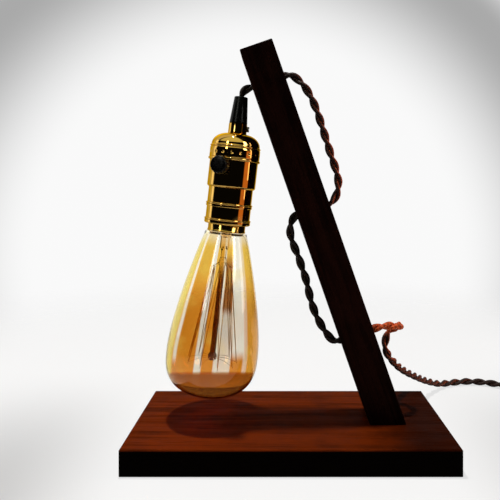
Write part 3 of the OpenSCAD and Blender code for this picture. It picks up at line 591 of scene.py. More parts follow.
def wood_material(name, light, dark, edge_reach, turn=(0, 0, 0), shine=0.42, sides=None, far_end=None):
    """Stained wood whose grain runs along X of its turned coordinates, with lighter worn patches.

    sides gives the height below which the wood is painted nearly black as painted shade on its sides, and
    far_end where it darkens along X."""
    material, tree, shader = start_material(name)
    where = object_place(tree, turn)
    grain = use_group(tree, "Wood grain", {"Vector": where, "Light": opaque(light), "Dark": opaque(dark)})
    marks = use_group(tree, "Handling marks", {"Vector": where, "Scale": 0.5})
    worn = blend_colour(
        tree, times(tree, marks["Patches"], 0.22), grain["Color"], opaque([1.7 * c for c in light])
    )
    plain = split(tree, own_place(tree))
    if far_end is not None:
        share = spread(tree, plain["X"], far_end[0], far_end[1], 0.0, 0.85)
        worn = blend_colour(tree, share, worn, opaque([0.15 * c for c in dark]))
    # Painted shade: below the given height the sides turn nearly black
    if sides is not None:
        share = spread(tree, plain["Z"], sides - 0.0012, sides, 1.0, 0.0)
        worn = blend_colour(tree, share, worn, opaque((0.0016, 0.0008, 0.0006)))
    rough = plus(tree, grain["Roughness"], shine)
    rough = plus(tree, rough, times(tree, marks["Patches"], 0.10))
    feed(tree, shader, Base_Color=worn, Roughness=rough, Normal=bump(tree, grain["Height"], 0.35, edge_reach))
    set_plain(shader, IOR=1.035)
    return material


def cloth_material(name, settings, painted_light_share):
    """A braided cloth cover of twisted yarns, nearly black, with painted shade between the yarns and painted
    copper light on its sides that face right and on the stretch near the lowest hole.
    """
    material, tree, shader = start_material(name)
    uv = put(tree, "ShaderNodeUVMap", uv_map="cord").outputs["UV"]
    braid = use_group(tree, "Braided cover", {"UV": uv})
    where = own_place(tree)
    height = split(tree, where)["Z"]
    facing = split(tree, put(tree, "ShaderNodeNewGeometry").outputs["Normal"])["X"]
    from_foot = vector_calc(tree, "SUBTRACT", where, tuple(POST_FOOT))[0]
    across = vector_calc(tree, "DOT_PRODUCT", from_foot, tuple(ACROSS_POST))["Value"]
    # Painted light: copper on the right of the post, on sides that face right and weaker up high, and full on
    # the stretch near the lowest hole
    right = spread(tree, across, 0.002, 0.022, 0.0, painted_light_share)
    rim = times(
        tree, spread(tree, facing, 0.10, 0.85, 0.03, 0.9), spread(tree, height, 0.19, 0.27, 1.0, 0.2)
    )
    rim = times(tree, rim, spread(tree, height, 0.030, 0.066, 0.30, 1.0))
    loop = times(tree, spread(tree, height, 0.067, 0.073), spread(tree, height, 0.095, 0.105, 1.0, 0.0))
    tone = times(tree, right, calc(tree, "MAXIMUM", rim, loop))
    yarn = blend_colour(tree, tone, opaque(settings.cloth), opaque(settings.painted_light_copper))
    # Painted shade: the colour darkens between the yarns
    between = spread(tree, braid["Yarn"], 0.0, 1.0, 0.45, 1.0)
    lit = blend_colour(tree, between, opaque(settings.painted_gap_shade), yarn)
    fuzz = spread(tree, tone, 0.0, 1.0, 0.02, 0.25)
    feed(tree, shader, Base_Color=lit, Sheen_Weight=fuzz, Normal=bump(tree, braid["Height"], 0.40, 0.00018))
    set_plain(
        shader, Roughness=0.50, IOR=1.25, Sheen_Roughness=0.30, Sheen_Tint=opaque((1.0, 0.62, 0.48)),
    )
    return material


def plastic_material(name, colour, roughness, coat=0.0, grain=0.0, bend=1.5):
    """Moulded plastic with faint handling marks."""
    material, tree, shader = start_material(name)
    where = object_place(tree)
    marks = use_group(tree, "Handling marks", {"Vector": where, "Scale": 1.0})
    tint = blend_colour(
        tree, times(tree, marks["Patches"], 0.35), opaque(colour), opaque([0.6 * c for c in colour])
    )
    rough = plus(tree, times(tree, marks["Patches"], 0.10), roughness)
    rough = plus(tree, rough, times(tree, marks["Scratches"], 0.15))
    height = plus(tree, times(tree, marks["Specks"], grain), marks["Scratches"])
    feed(tree, shader, Base_Color=tint, Roughness=rough, Normal=bump(tree, height, 0.12, 0.0001))
    set_plain(shader, IOR=bend, Coat_Weight=coat, Coat_Roughness=0.08)
    return material


def metal_material(name, colour, tarnish, roughness, wear=0.5, marked=1.0, edge=None):
    """Metal with tarnish in soft patches, specks and fine scratches."""
    material, tree, shader = start_material(name)
    where = object_place(tree)
    marks = use_group(tree, "Handling marks", {"Vector": where, "Scale": 0.8})
    tint = blend_colour(tree, times(tree, marks["Patches"], wear), opaque(colour), opaque(tarnish))
    tint = blend_colour(tree, times(tree, marks["Specks"], 0.5 * wear), tint, opaque(tarnish))
    rough = plus(tree, times(tree, marks["Patches"], 0.10 * marked), roughness)
    rough = plus(tree, rough, times(tree, marks["Scratches"], 0.10 * marked))
    height = calc(tree, "SUBTRACT", times(tree, marks["Specks"], 0.4), marks["Scratches"])
    feed(tree, shader, Base_Color=tint, Roughness=rough, Normal=bump(tree, height, 0.08 * marked, 0.00006))
    set_plain(shader, Metallic=1.0)
    if edge is not None:
        set_plain(shader, Specular_Tint=opaque(edge))
    return material


def make_streak_group():
    """Amber stain on blown glass, by the place along and round the pendant's axis.

    In front the stain runs in brown bands down the glass, with pale bands of painted reflection, and it is pale
    at the neck; behind it is thin."""
    tree, source, result = start_tree(
        "Amber streaks",
        [
            ("Vector", "NodeSocketVector", None),
            ("Amber", "NodeSocketColor", (0.85, 0.31, 0.026, 1)),
            ("Honey", "NodeSocketColor", (1.0, 0.80, 0.15, 1)),
            ("Brown", "NodeSocketColor", (0.40, 0.16, 0.045, 1)),
            ("Pale", "NodeSocketColor", (1.0, 1.0, 0.99, 1)),
            ("Behind", "NodeSocketColor", (1.0, 0.97, 0.84, 1)),
        ],
        [("Color", "NodeSocketColor")],
    )
    round_axis = vector_calc(tree, "MULTIPLY", source["Vector"], (1, 1, 0))[0]
    parts = split(tree, vector_calc(tree, "NORMALIZE", round_axis)[0])
    down = times(tree, split(tree, source["Vector"])["Z"], -1.0)
    wobble = noise(tree, source["Vector"], 30.0, 1.0)
    wobble = times(tree, calc(tree, "SUBTRACT", wobble, 0.5), 0.05)
    side = plus(tree, parts["X"], wobble)

    def band(low, high, soft, strength, start, end, fade):
        """A band between two places across the glass that starts and ends at two places down it."""
        mask = times(
            tree, spread(tree, side, low - soft, low + soft, 0.0, strength),
            spread(tree, side, high - soft, high + soft, 1.0, 0.0),
        )
        along = times(
            tree, spread(tree, down, start - fade, start), spread(tree, down, end, end + fade, 1.0, 0.0)
        )
        return times(tree, mask, along)

    front = blend_colour(tree, spread(tree, down, 0.105, 0.150, 0.55, 0.0), source["Amber"], source["Honey"])
    front = blend_colour(tree, band(0.21, 0.43, 0.02, 1.0, 0.118, 0.158, 0.012), front, source["Brown"])
    front = blend_colour(tree, spread(tree, side, -0.82, -0.74, 1.0, 0.0), front, source["Honey"])
    front = blend_colour(tree, spread(tree, side, 0.76, 0.84, 0.0, 0.20), front, source["Honey"])
    # Painted reflection: the pale bands down the front stand in for bright windows reflected in the glass
    for low, high, strength, start, end in (
        (-0.76, -0.68, 0.85, 0.098, 0.178),
        (-0.27, -0.12, 0.92, 0.098, 0.190),
        (0.12, 0.21, 0.85, 0.098, 0.182),
        (0.16, 0.46, 0.75, 0.150, 0.186),
        (0.44, 0.72, 0.95, 0.098, 0.170),
        (0.70, 0.79, 0.5, 0.098, 0.190),
    ):
        painted_reflection_band = band(low, high, 0.014, strength, start, end, 0.008)
        front = blend_colour(tree, painted_reflection_band, front, source["Pale"])
    front = blend_colour(tree, spread(tree, down, 0.097, 0.106, 0.55, 0.0), front, source["Pale"])
    blotch = noise(tree, source["Vector"], 70.0, 2.0)
    front = blend_colour(tree, spread(tree, blotch, 0.50, 0.75, 0.0, 0.30), front, source["Honey"])
    shown = blend_colour(tree, spread(tree, parts["Y"], -0.05, 0.05), front, source["Behind"])
    tree.links.new(shown, result.inputs["Color"])


def glass_material(name, tint, shadow_tint, roughness=0.0, painted_board_below=None, clear_above=None):
    """Clear tinted glass; lamps shine through it with its tint.

    Below its lower height the streaked amber glass is painted brown, a painted view of the board seen through
    it; clear_above is the height over which the tint is pale."""
    material, tree, shader = start_material(name)
    where = object_place(tree)
    parts = split(tree, where)
    if painted_board_below is not None:
        out = PENDANT.inverted()
        inputs = {"Vector": where, "Rotation": out.to_euler(), "Location": out.translation}
        local = put(tree, "ShaderNodeMapping", inputs).outputs["Vector"]
        stain = use_group(tree, "Amber streaks", {"Vector": local, "Amber": opaque(tint)})["Color"]
        # Painted view of the board through the glass: brown below a line that drops towards the back
        height = plus(tree, parts["Z"], times(tree, parts["Y"], PAINTED_BOARD_SLOPE))
        low = spread(tree, height, painted_board_below - 0.001, painted_board_below + 0.001, 0.95, 0.0)
        feed(tree, shader, Base_Color=blend_colour(tree, low, stain, opaque((0.58, 0.27, 0.060))))
    feed(tree, shader, Normal=bump(tree, noise(tree, where, 55.0, 1.0), 0.04, 0.001))
    set_plain(
        shader, Base_Color=opaque(tint), Roughness=roughness, Transmission_Weight=1.0, IOR=1.40, Metallic=0.0
    )
    if clear_above is not None:
        high = spread(tree, parts["Z"], clear_above - 0.008, clear_above + 0.008)
        feed(tree, shader, Base_Color=blend_colour(tree, high, opaque(tint), opaque((0.90, 0.72, 0.46))))
    clear = put(tree, "ShaderNodeBsdfTransparent", {"Color": opaque(shadow_tint)})
    shadow = put(tree, "ShaderNodeLightPath").outputs["Is Shadow Ray"]
    mixed = put(tree, "ShaderNodeMixShader", {0: shadow, 1: shader.outputs[0], 2: clear.outputs[0]})
    tree.links.new(mixed.outputs[0], tree.nodes["Material Output"].inputs["Surface"])
    return material


# Geometry Nodes: trees with named inputs, turned into plain meshes


def start_growth(name, inputs):
    """A new geometry tree; returns the tree, its inputs' outputs and its output node."""
    shape = ("Geometry", "NodeSocketGeometry")
    return start_tree(name, [shape + (None,)] + inputs, [shape], "GeometryNodeTree")


def end_growth(tree, geometry, material, result):
    """Ends a tree in plain geometry with its material."""
    plain = put(tree, "GeometryNodeRealizeInstances", {"Geometry": geometry}).outputs["Geometry"]
    dressed = put(tree, "GeometryNodeSetMaterial", {"Geometry": plain, "Material": material})
    tree.links.new(dressed.outputs["Geometry"], result.inputs["Geometry"])


def grown(name, tree_name, mesh, values):
    """The plain mesh that a geometry tree makes of a mesh."""
    tree = bpy.data.node_groups[tree_name]
    holder = bpy.data.objects.new(name, mesh)
    bpy.context.scene.collection.objects.link(holder)
    growth = holder.modifiers.new("growth", "NODES")
    growth.node_group = tree
    for item in tree.interface.items_tree:
        if item.item_type == "SOCKET" and item.in_out == "INPUT" and item.name in values:
            growth[item.identifier] = values[item.name]
    ready = holder.evaluated_get(bpy.context.evaluated_depsgraph_get())
    done = bpy.data.meshes.new_from_object(ready)
    bpy.data.objects.remove(holder)
    if not done.polygons:
        raise RuntimeError(name + ": the tree made nothing")
    return done


def make_cage_tree():
    """One thin wire up and down between a small upper ring and a wide lower one, with round bends."""
    tree, source, result = start_growth(
        "Filament cage",
        [
            ("Hairpins", "NodeSocketInt", 8),
            ("Start", "NodeSocketFloat", CAGE_START), ("Span", "NodeSocketFloat", CAGE_SPAN),
            ("Upper radius", "NodeSocketFloat", 0.007), ("Lower radius", "NodeSocketFloat", 0.0175),
            ("Upper distance", "NodeSocketFloat", 0.120), ("Lower distance", "NodeSocketFloat", 0.187),
            ("Bend", "NodeSocketFloat", 0.00003), ("Wire radius", "NodeSocketFloat", 0.00027),
            ("Material", "NodeSocketMaterial", None),
        ],
    )
    ends = times(tree, source["Hairpins"], 2.0)
    line = put(tree, "GeometryNodeMeshLine", {"Count": plus(tree, ends, 1.0)}).outputs["Mesh"]
    index = put(tree, "GeometryNodeInputIndex").outputs["Index"]
    low = calc(tree, "MODULO", index, 2.0)
    angle = calc(tree, "DIVIDE", times(tree, source["Span"], index), ends)
    angle = plus(tree, angle, source["Start"])

    def between(upper, lower):
        """The upper value on even bends and the lower one on odd bends."""
        return plus(tree, upper, times(tree, calc(tree, "SUBTRACT", lower, upper), low))

    radius = between(source["Upper radius"], source["Lower radius"])
    down = times(tree, between(source["Upper distance"], source["Lower distance"]), -1.0)
    where = put(
        tree, "ShaderNodeCombineXYZ",
        {
            "X": times(tree, radius, calc(tree, "COSINE", angle)),
            "Y": times(tree, radius, calc(tree, "SINE", angle)), "Z": down,
        },
    ).outputs["Vector"]
    bends = put(tree, "GeometryNodeSetPosition", {"Geometry": line, "Position": where}).outputs["Geometry"]
    wire = put(tree, "GeometryNodeMeshToCurve", {"Mesh": bends}).outputs["Curve"]
    fillet = put(
        tree, "GeometryNodeFilletCurve", {"Curve": wire, "Count": 5, "Radius": source["Bend"]}, mode="POLY"
    ).outputs["Curve"]
    inputs = {"Resolution": 6, "Radius": source["Wire radius"]}
    section = put(tree, "GeometryNodeCurvePrimitiveCircle", inputs)
    tube = put(
        tree, "GeometryNodeCurveToMesh",
        {"Curve": fillet, "Profile Curve": section.outputs["Curve"], "Fill Caps": True},
    ).outputs["Mesh"]
    end_growth(tree, tube, source["Material"], result)


def make_copies_tree():
    """Copies of one piece, turned round the Z axis by equal steps."""
    tree, source, result = start_growth(
        "Turned copies",
        [
            ("Count", "NodeSocketInt", 8),
            ("Start", "NodeSocketFloat", 0.0), ("Step", "NodeSocketFloat", 0.7),
            ("Material", "NodeSocketMaterial", None),
        ],
    )
    zero = (0.0, 0.0, 0.0)
    line = put(tree, "GeometryNodeMeshLine", {"Count": source["Count"], "Offset": zero}).outputs["Mesh"]
    index = put(tree, "GeometryNodeInputIndex").outputs["Index"]
    turn = plus(tree, source["Start"], times(tree, index, source["Step"]))
    spun = put(tree, "ShaderNodeCombineXYZ", {"X": 0.0, "Y": 0.0, "Z": turn}).outputs["Vector"]
    inputs = {"Points": line, "Instance": source["Geometry"], "Rotation": spun}
    copies = put(tree, "GeometryNodeInstanceOnPoints", inputs).outputs["Instances"]
    end_growth(tree, copies, source["Material"], result)


# Cords: a route of given points, made smooth, and two strands twisted round it


def smooth_route(points, spacing):
    """Points at an even spacing on one smooth curve through the given ones."""
    given = np.array([tuple(point) for point in points])
    ends = np.vstack([2 * given[0] - given[1], given, 2 * given[-1] - given[-2]])
    dense = []
    for index in range(1, len(ends) - 2):
        four = ends[index - 1 : index + 3]
        knots = [0.0]
        for step in range(3):
            knots.append(knots[-1] + max(1e-6, np.linalg.norm(four[step + 1] - four[step])) ** 0.5)
        for t in np.linspace(knots[1], knots[2], 24, endpoint=False):
            lower = [
                ((knots[i + 1] - t) * four[i] + (t - knots[i]) * four[i + 1]) / (knots[i + 1] - knots[i])
                for i in range(3)
            ]
            middle = [
                ((knots[i + 2] - t) * lower[i] + (t - knots[i]) * lower[i + 1]) / (knots[i + 2] - knots[i])
                for i in range(2)
            ]
            dense.append(((knots[2] - t) * middle[0] + (t - knots[1]) * middle[1]) / (knots[2] - knots[1]))
    dense.append(given[-1])
    dense = np.array(dense)
    travelled = np.concatenate([[0], np.cumsum(np.linalg.norm(np.diff(dense, axis=0), axis=1))])
    count = max(2, int(round(travelled[-1] / spacing)))
    wanted = np.linspace(0, travelled[-1], count + 1)
    return np.stack([np.interp(wanted, travelled, dense[:, axis]) for axis in range(3)], axis=1)


def directions(route):
    """Unit direction at each point of a route."""
    ahead = np.gradient(route, axis=0)
    return ahead / np.linalg.norm(ahead, axis=1)[:, None]


def carried_normals(route, first):
    """A normal carried along a route without twisting."""
    ahead = directions(route)
    normal = np.array(first, float)
    normals = []
    for way in ahead:
        normal = normal - normal.dot(way) * way
        normal = normal / np.linalg.norm(normal)
        normals.append(normal)
    return np.array(normals)


def tube_rings(route, normals, radius, sides):
    """Rings of points square to a route."""
    across = np.cross(directions(route), normals)
    turns = np.arange(sides) * 2 * math.pi / sides
    return (
        route[:, None, :]
        + radius * np.cos(turns)[None, :, None] * normals[:, None, :]
        + radius * np.sin(turns)[None, :, None] * across[:, None, :]
    )


def add_tube(tube_set, rings, along):
    """Adds a tube's points, faces and UVs to the lists of a mesh."""
    points, faces, uvs = tube_set
    start = len(points)
    count, sides = rings.shape[:2]
    points.extend(tuple(point) for point in rings.reshape(-1, 3))
    for row in range(count - 1):
        for side in range(sides):
            beside = (side + 1) % sides
            here = start + row * sides
            faces.append((here + side, here + beside, here + sides + beside, here + sides + side))
            low, high = side / sides, (side + 1) / sides
            uvs.extend([(low, along[row]), (high, along[row]), (high, along[row + 1]), (low, along[row + 1])])
    for row, order in ((0, range(sides - 1, -1, -1)), (count - 1, range(sides))):
        faces.append(tuple(start + row * sides + side for side in order))
        uvs.extend((side / sides, along[row]) for side in order)


def tube_mesh(name, tube_set):
    """A mesh from such lists, with its UV map."""
    points, faces, uvs = tube_set
    mesh = bpy.data.meshes.new(name)
    mesh.from_pydata(points, [], faces)
    layer = mesh.uv_layers.new(name="cord")
    layer.data.foreach_set("uv", [value for uv in uvs for value in uv])
    mesh.polygons.foreach_set("use_smooth", [True] * len(mesh.polygons))
    mesh.set_sharp_from_angle(angle=math.radians(50))
    return mesh


def twisted_pair(name, route, first, diameter, lay, phase, sides=12):
    """Two strands twisted to the left round a route; returns the mesh, the last normal and phase."""
    normals = carried_normals(route, first)
    across = np.cross(directions(route), normals)
    steps = np.linalg.norm(np.diff(route, axis=0), axis=1)
    travelled = np.concatenate([[0], np.cumsum(steps)])
    tube_set = ([], [], [])
    for strand in (0, 1):
        turn = phase + math.pi * strand - 2 * math.pi * travelled / lay
        outward = np.cos(turn)[:, None] * normals + np.sin(turn)[:, None] * across
        centre = route + diameter * STRAND_OUT * outward
        rings = tube_rings(centre, carried_outward(centre, outward), diameter * STRAND_RADIUS, sides)
        along = np.concatenate([[0], np.cumsum(np.linalg.norm(np.diff(centre, axis=0), axis=1))])
        add_tube(tube_set, rings, along)
    return tube_mesh(name, tube_set), normals[-1], phase - 2 * math.pi * travelled[-1] / lay


def carried_outward(centre, outward):
    """The outward directions made square to a strand."""
    ahead = directions(centre)
    square = outward - (outward * ahead).sum(axis=1)[:, None] * ahead
    return square / np.linalg.norm(square, axis=1)[:, None]


def in_metres(points):
    """Points in millimetres as vectors in metres."""
    return [Vector(point) * MM for point in points]


# The cord's route repeats the solids' own points
LOOP_1 = [
    (1.5, 0, 257.5), (7.5, 0, 253), (13, 0, 246), (17.5, 0, 237), (21, 0, 227.5), (24, 0, 218),
    (27, 0, 208.5), (30, 0, 199), (33, 0, 190), (34.5, 0, 181), (33, 0, 173),
]
LOOP_2 = [
    (1.5, 0, 154.5), (0.5, 0, 147), (2.5, 0, 139), (6, 0, 130.5), (9, 0, 121.5), (12, 0, 112.5),
    (14, 0, 103.5), (16.5, 0, 94.5), (20, 0, 86), (25, 0, 77.5), (30.5, 0, 71),
]
TAIL = [
    (65, 0, 80.5), (71.5, 2, 80.5), (77.5, 6, 79.5), (80.5, 12, 78), (79, 18.5, 75.5), (74.5, 22.5, 71),
    (72, 23, 63.5), (73, 25, 56), (77, 29.5, 49.5), (83, 37, 42), (92, 50, 33), (106, 68, 22),
    (122, 88, 11), (136, 101, 4.5), (148, 108, 3), (162, 111, 3), (177, 109, 3), (192, 101, 3),
    (205, 88.5, 3),
]
COIL_CENTRE = Vector((250, 106, 0)) * MM
COIL_START = math.radians(225)
COIL_TURNS = 6.875
COIL_LOW = 4.2 * MM
INSIDE_HOLE = 6 * MM


def coil_point(settings, turn):
    """A point of the coil: it winds in on the table and out again on top."""
    half = COIL_TURNS / 2
    radius = settings.coil_radius - settings.coil_pitch * half + settings.coil_pitch * abs(turn - half)
    climb = min(1, max(0, (turn - half) * 2 + 0.5))
    angle = COIL_START + 2 * math.pi * turn
    rise = settings.coil_pitch * (1 - math.cos(math.pi * climb)) / 2
    return COIL_CENTRE + Vector((radius * math.cos(angle), radius * math.sin(angle), COIL_LOW + rise))


def coil_heading(turn):
    """The coil's direction."""
    angle = COIL_START + 2 * math.pi * turn
    return Vector((-math.sin(angle), math.cos(angle), 0))


def laced_route():
    """From the top hole to the lowest one, with a loop on each side of the post."""
    points = [mouth(0, -1, -3.3 * MM), mouth(0, 1, -MM), mouth(0, 1, 1.5 * MM)] + in_metres(LOOP_1)
    points += [mouth(1, 1, 2 * MM), mouth(1, 1, -2 * MM), mouth(1, -1, -2 * MM), mouth(1, -1, 0.5 * MM)]
    points += in_metres(LOOP_2) + [mouth(2, -1, MM), mouth(2, -1, -2 * MM), mouth(2, 1, -INSIDE_HOLE)]
    return smooth_route(points, 1.2 * MM)


def lead_route(settings):
    """From the lowest hole down to the table, round the coil and into the plug."""
    coil = [coil_point(settings, step / 24) for step in range(int(COIL_TURNS * 24) + 1)]
    into = coil[0] - coil_heading(0) * settings.diameter
    out = coil[-1] + coil_heading(COIL_TURNS) * settings.diameter
    points = [mouth(2, 1, -INSIDE_HOLE), mouth(2, 1, 0)] + in_metres(TAIL)
    points += [into - coil_heading(0) * 2 * MM, into] + coil + [out]
    plug_x, plug_z = out.x, PLUG_THICK / 2
    points += [
        out + Vector((0, -2, 0)) * MM, Vector((plug_x, 90 * MM, out.z - 0.4 * MM)),
        Vector((plug_x, 80 * MM, plug_z + MM)), Vector((plug_x, RELIEF_BACK, plug_z)),
        Vector((plug_x, PLUG_BACK - 5 * MM, plug_z)),
    ]
    return smooth_route(points, 1.5 * MM)


def drop_route():
    """Out of the top hole, round the bend and down into the grip."""
    leave = math.pi + POST_LEAN
    arrive = 1.5 * math.pi - PENDANT_TILT
    step = (math.sin(arrive) - math.sin(leave), math.cos(leave) - math.cos(arrive))
    slant = math.tan(POST_LEAN)
    bend = (DROP_DOWN - slant * DROP_OUT) / (slant * step[0] - step[1])
    straight = (DROP_OUT + bend * step[0]) / math.cos(POST_LEAN)
    centre = mouth(0, -1, straight) + bend * Vector((math.sin(POST_LEAN), 0, -math.cos(POST_LEAN)))
    points = [mouth(0, -1, -2.6 * MM), mouth(0, -1, 0), mouth(0, -1, straight)]
    for share in (0.2, 0.4, 0.6, 0.8, 1.0):
        angle = leave + (arrive - leave) * share
        points.append(centre + bend * Vector((math.sin(angle), 0, -math.cos(angle))))
    return smooth_route(points + [PIVOT + 1.2 * MM * PENDANT_DOWN], 0.8 * MM)


class LAMP_OT_stage(bpy.types.Operator):
    """Makes the camera, the floor, the soft lights and the white surroundings"""

    bl_idname = "lamp.stage"
    bl_label = "Camera, floor and lights"

    def execute(self, context):
        settings = context.scene.lamp_stage
        scene = context.scene
        camera = bpy.data.cameras.new("Camera")
        camera.lens = settings.lens
        camera.sensor_width = 36
        camera.shift_x, camera.shift_y = CAMERA_SHIFT
        camera.clip_start = 0.01
        camera.clip_end = 50
        viewer = bpy.data.objects.new("Camera", camera)
        viewer.location = (CAMERA_X, -settings.camera_distance, settings.camera_height)
        viewer.rotation_euler = (math.pi / 2, 0, 0)
        scene.collection.objects.link(viewer)
        scene.camera = viewer
        scene.view_settings.view_transform = "Standard"
        self.make_floor(settings)
        self.make_world(scene, settings)
        self.make_lamps(scene)
        return {"FINISHED"}

    def make_floor(self, settings):
        """A pale round floor that fades into the backdrop further out, with the photo's grey patches
        in front of it on both sides; it keeps the lamp's shadow."""
        mesh = bpy.data.meshes.new("floor")
        shape = bmesh.new()
        bmesh.ops.create_circle(shape, cap_ends=True, segments=96, radius=FLOOR_RADIUS)
        shape.to_mesh(mesh)
        shape.free()
        floor = bpy.data.objects.new("floor", mesh)
        bpy.context.scene.collection.objects.link(floor)
        floor.location.z = -FLOOR_DROP
        material, tree, shader = start_material("pale_floor")
        where = object_place(tree)
        fine = put(tree, "ShaderNodeTexNoise", {"Vector": where, "Scale": 300.0, "Detail": 2.0})
        rough = plus(tree, times(tree, fine.outputs["Fac"], 0.05), 0.7)
        feed(tree, shader, Roughness=rough)
        set_plain(shader, Base_Color=opaque([0.90 * c for c in settings.backdrop]), Specular_IOR_Level=0.1)
        away = put(tree, "ShaderNodeVectorMath", {0: where}, operation="LENGTH").outputs["Value"]
        path = put(tree, "ShaderNodeLightPath").outputs
        seen = calc(tree, "MAXIMUM", path["Is Camera Ray"], path["Is Transmission Ray"])
        seen = calc(tree, "MAXIMUM", seen, path["Is Glossy Ray"])
        fade = times(tree, spread(tree, away, settings.floor_clear, settings.floor_gone), seen)
        clear = put(tree, "ShaderNodeBsdfTransparent")
        spot = put(tree, "ShaderNodeSeparateXYZ", {"Vector": where}).outputs
        beside = calc(tree, "ABSOLUTE", spot["X"])
        # Painted shade: grey patches on the floor in front, on both sides, shown to the camera
        painted_shade_patches = times(
            tree, spread(tree, spot["Y"], -0.11, 0.16, 1.0, 0.0), spread(tree, beside, 0.09, 0.19)
        )
        painted_shade_patches = times(tree, painted_shade_patches, spread(tree, beside, 0.20, 0.32, 1.0, 0.0))
        painted_shade_patches = times(tree, painted_shade_patches, spread(tree, spot["Y"], -0.26, -0.12))
        bright = opaque([1.09 * c for c in settings.backdrop])
        pale = blend_colour(tree, painted_shade_patches, bright, opaque((0.50, 0.50, 0.50)))
        glow = put(tree, "ShaderNodeEmission", {"Color": pale})
        share = times(tree, path["Is Camera Ray"], 0.70)
        lit = put(tree, "ShaderNodeMixShader", {0: share, 1: shader.outputs[0], 2: glow.outputs[0]})
        mixed = put(tree, "ShaderNodeMixShader", {0: fade, 1: lit.outputs[0], 2: clear.outputs[0]})
        tree.links.new(mixed.outputs[0], tree.nodes["Material Output"].inputs["Surface"])
        floor.data.materials.append(material)

    def make_world(self, scene, settings):
        """An even studio for diffuse light, and the backdrop with grey corners of painted shade for the camera.

        Shiny pieces and glass see a white far side, a dark viewer's side, a pale ceiling, a warm card
        on the right and two tall windows in front; shiny ones also a dark field behind on the right."""
        world = bpy.data.worlds.new("studio")
        scene.world = world
        world.use_nodes = True
        tree = world.node_tree
        tree.nodes.clear()
        way = put(tree, "ShaderNodeTexCoord").outputs["Generated"]
        parts = put(tree, "ShaderNodeSeparateXYZ", {"Vector": way}).outputs
        backwards = times(tree, parts["Y"], -1.0)
        azimuth = calc(tree, "ARCTAN2", parts["X"], backwards)
        height = parts["Z"]

        def window(low, high, soft, bottom, top, soft_height):
            """A soft-edged mask between two azimuths in degrees and two heights."""
            sides = times(
                tree, spread(tree, azimuth, math.radians(low - soft), math.radians(low)),
                spread(tree, azimuth, math.radians(high), math.radians(high + soft), 1.0, 0.0),
            )
            ends = times(
                tree, spread(tree, height, bottom - soft_height, bottom),
                spread(tree, height, top, top + soft_height, 1.0, 0.0),
            )
            return times(tree, sides, ends)

        turned = calc(tree, "ABSOLUTE", azimuth)
        far_side = spread(tree, turned, math.radians(86), math.radians(104))
        path = put(tree, "ShaderNodeLightPath").outputs
        colour = blend_colour(tree, far_side, opaque((0.004, 0.004, 0.004)), opaque((0.90, 0.90, 0.90)))
        shade = times(tree, window(100, 148, 6, -0.9, 0.5, 0.1), path["Is Glossy Ray"])
        colour = blend_colour(tree, shade, colour, opaque((0.006, 0.005, 0.004)))
        card = blend_colour(
            tree, spread(tree, height, -0.02, 0.09), opaque((0.85, 0.30, 0.08)), opaque((0.16, 0.15, 0.06))
        )
        colour = blend_colour(tree, window(62, 96, 6, -0.9, 0.25, 0.10), colour, card)
        colour = blend_colour(tree, window(-75, 45, 14, 0.60, 1.0, 0.12), colour, opaque((0.95, 1.00, 0.70)))
        colour = blend_colour(tree, window(48, 60, 3, 0.22, 0.60, 0.05), colour, opaque((9.0, 9.0, 8.6)))
        colour = blend_colour(tree, window(-38, -31, 2, 0.24, 0.58, 0.05), colour, opaque((8.0, 8.0, 7.4)))
        shiny = calc(tree, "MAXIMUM", path["Is Glossy Ray"], path["Is Transmission Ray"])
        even = opaque([settings.fill * c for c in (1.0, 0.99, 0.98)])
        light = blend_colour(tree, shiny, even, colour)
        # Painted shade: the backdrop seen by the camera turns grey towards the corners of the view
        ahead = vector_calc(tree, "DOT_PRODUCT", way, MIDDLE_OF_VIEW)["Value"]
        painted_corner_shade = times(
            tree, spread(tree, ahead, 0.845, 0.935, 1.0, 0.0), spread(tree, ahead, 0.79, 0.84)
        )
        wall = blend_colour(tree, painted_corner_shade, opaque(settings.backdrop), opaque((0.40, 0.40, 0.40)))
        seen = blend_colour(tree, path["Is Camera Ray"], light, wall)
        back = put(tree, "ShaderNodeBackground", {"Color": seen})
        result = put(tree, "ShaderNodeOutputWorld", {"Surface": back.outputs[0]})
        result.is_active_output = True

    def make_lamps(self, scene):
        """A small key light above, and weak soft boxes at the back and the sides."""
        for name, place_at, aim, size, power, tint in (
            ("key_above", (-0.10, 0.02, 1.20), (-0.02, 0, 0.02), (0.045, 0.045), 9.2, (1.0, 0.98, 0.95)),
            ("back_box", (-0.35, 0.85, 0.75), (0, 0, 0.05), (0.6, 0.4), 0.5, (1.0, 0.985, 0.96)),
            ("right_box", (0.85, -0.05, 0.35), (0, 0, 0.12), (0.25, 0.6), 1.2, (1.0, 0.80, 0.66)),
            ("left_box", (-0.80, 0.10, 0.35), (0, 0, 0.12), (0.20, 0.6), 0.4, (1.0, 0.99, 0.98)),
        ):
            lamp = bpy.data.lights.new(name, "AREA")
            lamp.shape = "RECTANGLE"
            lamp.size, lamp.size_y = size
            lamp.energy = power
            lamp.color = tint
            holder = bpy.data.objects.new(name, lamp)
            holder.location = place_at
            aim_way = Vector(aim) - Vector(place_at)
            holder.rotation_euler = aim_way.to_track_quat("-Z", "Y").to_euler()
            scene.collection.objects.link(holder)


